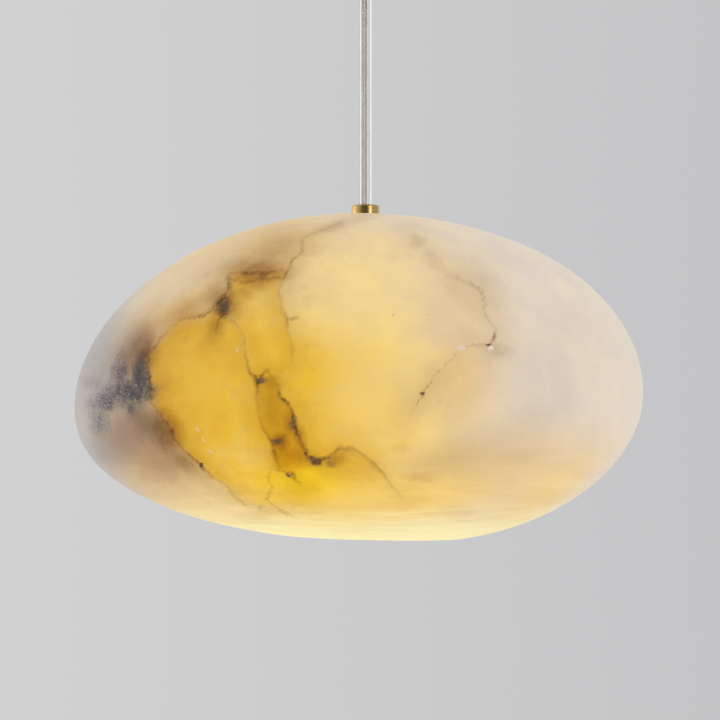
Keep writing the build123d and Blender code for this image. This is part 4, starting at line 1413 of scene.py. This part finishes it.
@dataclass
class Studio:
    """The camera, the soft lights, the grey surround and the pale floor. Sizes are in metres."""

    eye: tuple[float, float, float] = (-0.00295, -0.695, -0.2398)
    lens: float = 64.8
    sensor: float = 36.0
    near_clip: float = 0.01
    far_clip: float = 50.0
    floor_level: float = -1.3
    floor_radius: float = 2.5
    floor_sides: int = 96
    surround_left: Colour = shown(210, 210, 211)
    surround_right: Colour = shown(196, 196, 198)
    surround_reach: float = 0.28
    soft_light: float = 0.65
    front_gloom: float = 0.15
    lamps: tuple[SoftLamp, ...] = (
        SoftLamp((-1.9, 0.6, -0.05), 2.0, 1.8, 8.5),
        SoftLamp((1.35, -1.6, -0.1), 0.6, 1.3, 7.0),
        SoftLamp((1.3, 1.4, 0.1), 0.2, 2.2, 1.5),
        SoftLamp((0.1, -0.7, -1.0), 0.9, 0.9, 1.5),
    )

    def build(self) -> None:
        """Set up the view, the light and the surround."""
        view = bpy.data.cameras.new("front_view")
        view.lens, view.sensor_width = self.lens, self.sensor
        view.clip_start, view.clip_end = self.near_clip, self.far_clip
        camera = add_object("front_view", view)
        camera.location, camera.rotation_euler = self.eye, (radians(90), 0.0, 0.0)
        bpy.context.scene.camera = camera
        bpy.context.scene.view_settings.view_transform = "Standard"
        self.surround()
        self.floor()
        for number, lamp in enumerate(self.lamps, start=1):
            lamp.hang(f"soft_lamp_{number}", Vector((0.0, 0.0, self.eye[2])))

    def surround(self) -> None:
        """Make the grey surround, which lights the object evenly."""
        world = bpy.data.worlds.new("surround")
        world.use_nodes = True
        bpy.context.scene.world = world
        sheet = NodeSheet(world.node_tree)
        across, deep, _ = sheet.apart(sheet.node("TexCoord").outputs["Generated"])
        rightward = sheet.scale(across, -self.surround_reach, self.surround_reach, 0.0, 1.0)
        seen = sheet.blend(rightward, self.surround_left, self.surround_right)
        mirrored = sheet.dimmed(seen, sheet.step(deep, -0.5, -0.95, 1.0, self.front_gloom))
        path = sheet.node("LightPath").outputs
        unseen = sheet.blend(path["Is Glossy Ray"], grey(self.soft_light), mirrored)
        straight = sheet.most((path["Is Camera Ray"], path["Is Transmission Ray"]))
        background = sheet.node("Background", {"Color": sheet.blend(straight, unseen, seen)})
        sheet.node("OutputWorld", {0: background.outputs[0]})

    def floor(self) -> None:
        """Lay the pale floor far below the light."""
        angle = full_turn(self.floor_sides)
        level = np.full(self.floor_sides, self.floor_level)
        ring = np.column_stack([self.floor_radius * np.cos(angle), self.floor_radius * np.sin(angle), level])
        floor = add_mesh("floor", ring, [tuple(range(self.floor_sides))])
        FLOOR.dress(floor)


def main() -> None:
    """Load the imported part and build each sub-assembly."""
    logging.basicConfig(level=logging.INFO, format="%(message)s")
    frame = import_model()
    Studio().build()
    LOG.info("studio: camera, surround, floor and lamps")
    LOG.info("metalwork: %d packed pieces dressed", Metalwork().dress(frame["nodes"]))
    stone = Shade().build()
    LOG.info("shade: %d faces", len(stone.data.polygons))
    jacket = Cord().build()
    LOG.info("cord: %s with its two cores", jacket.name)


if __name__ == "__main__":
    main()
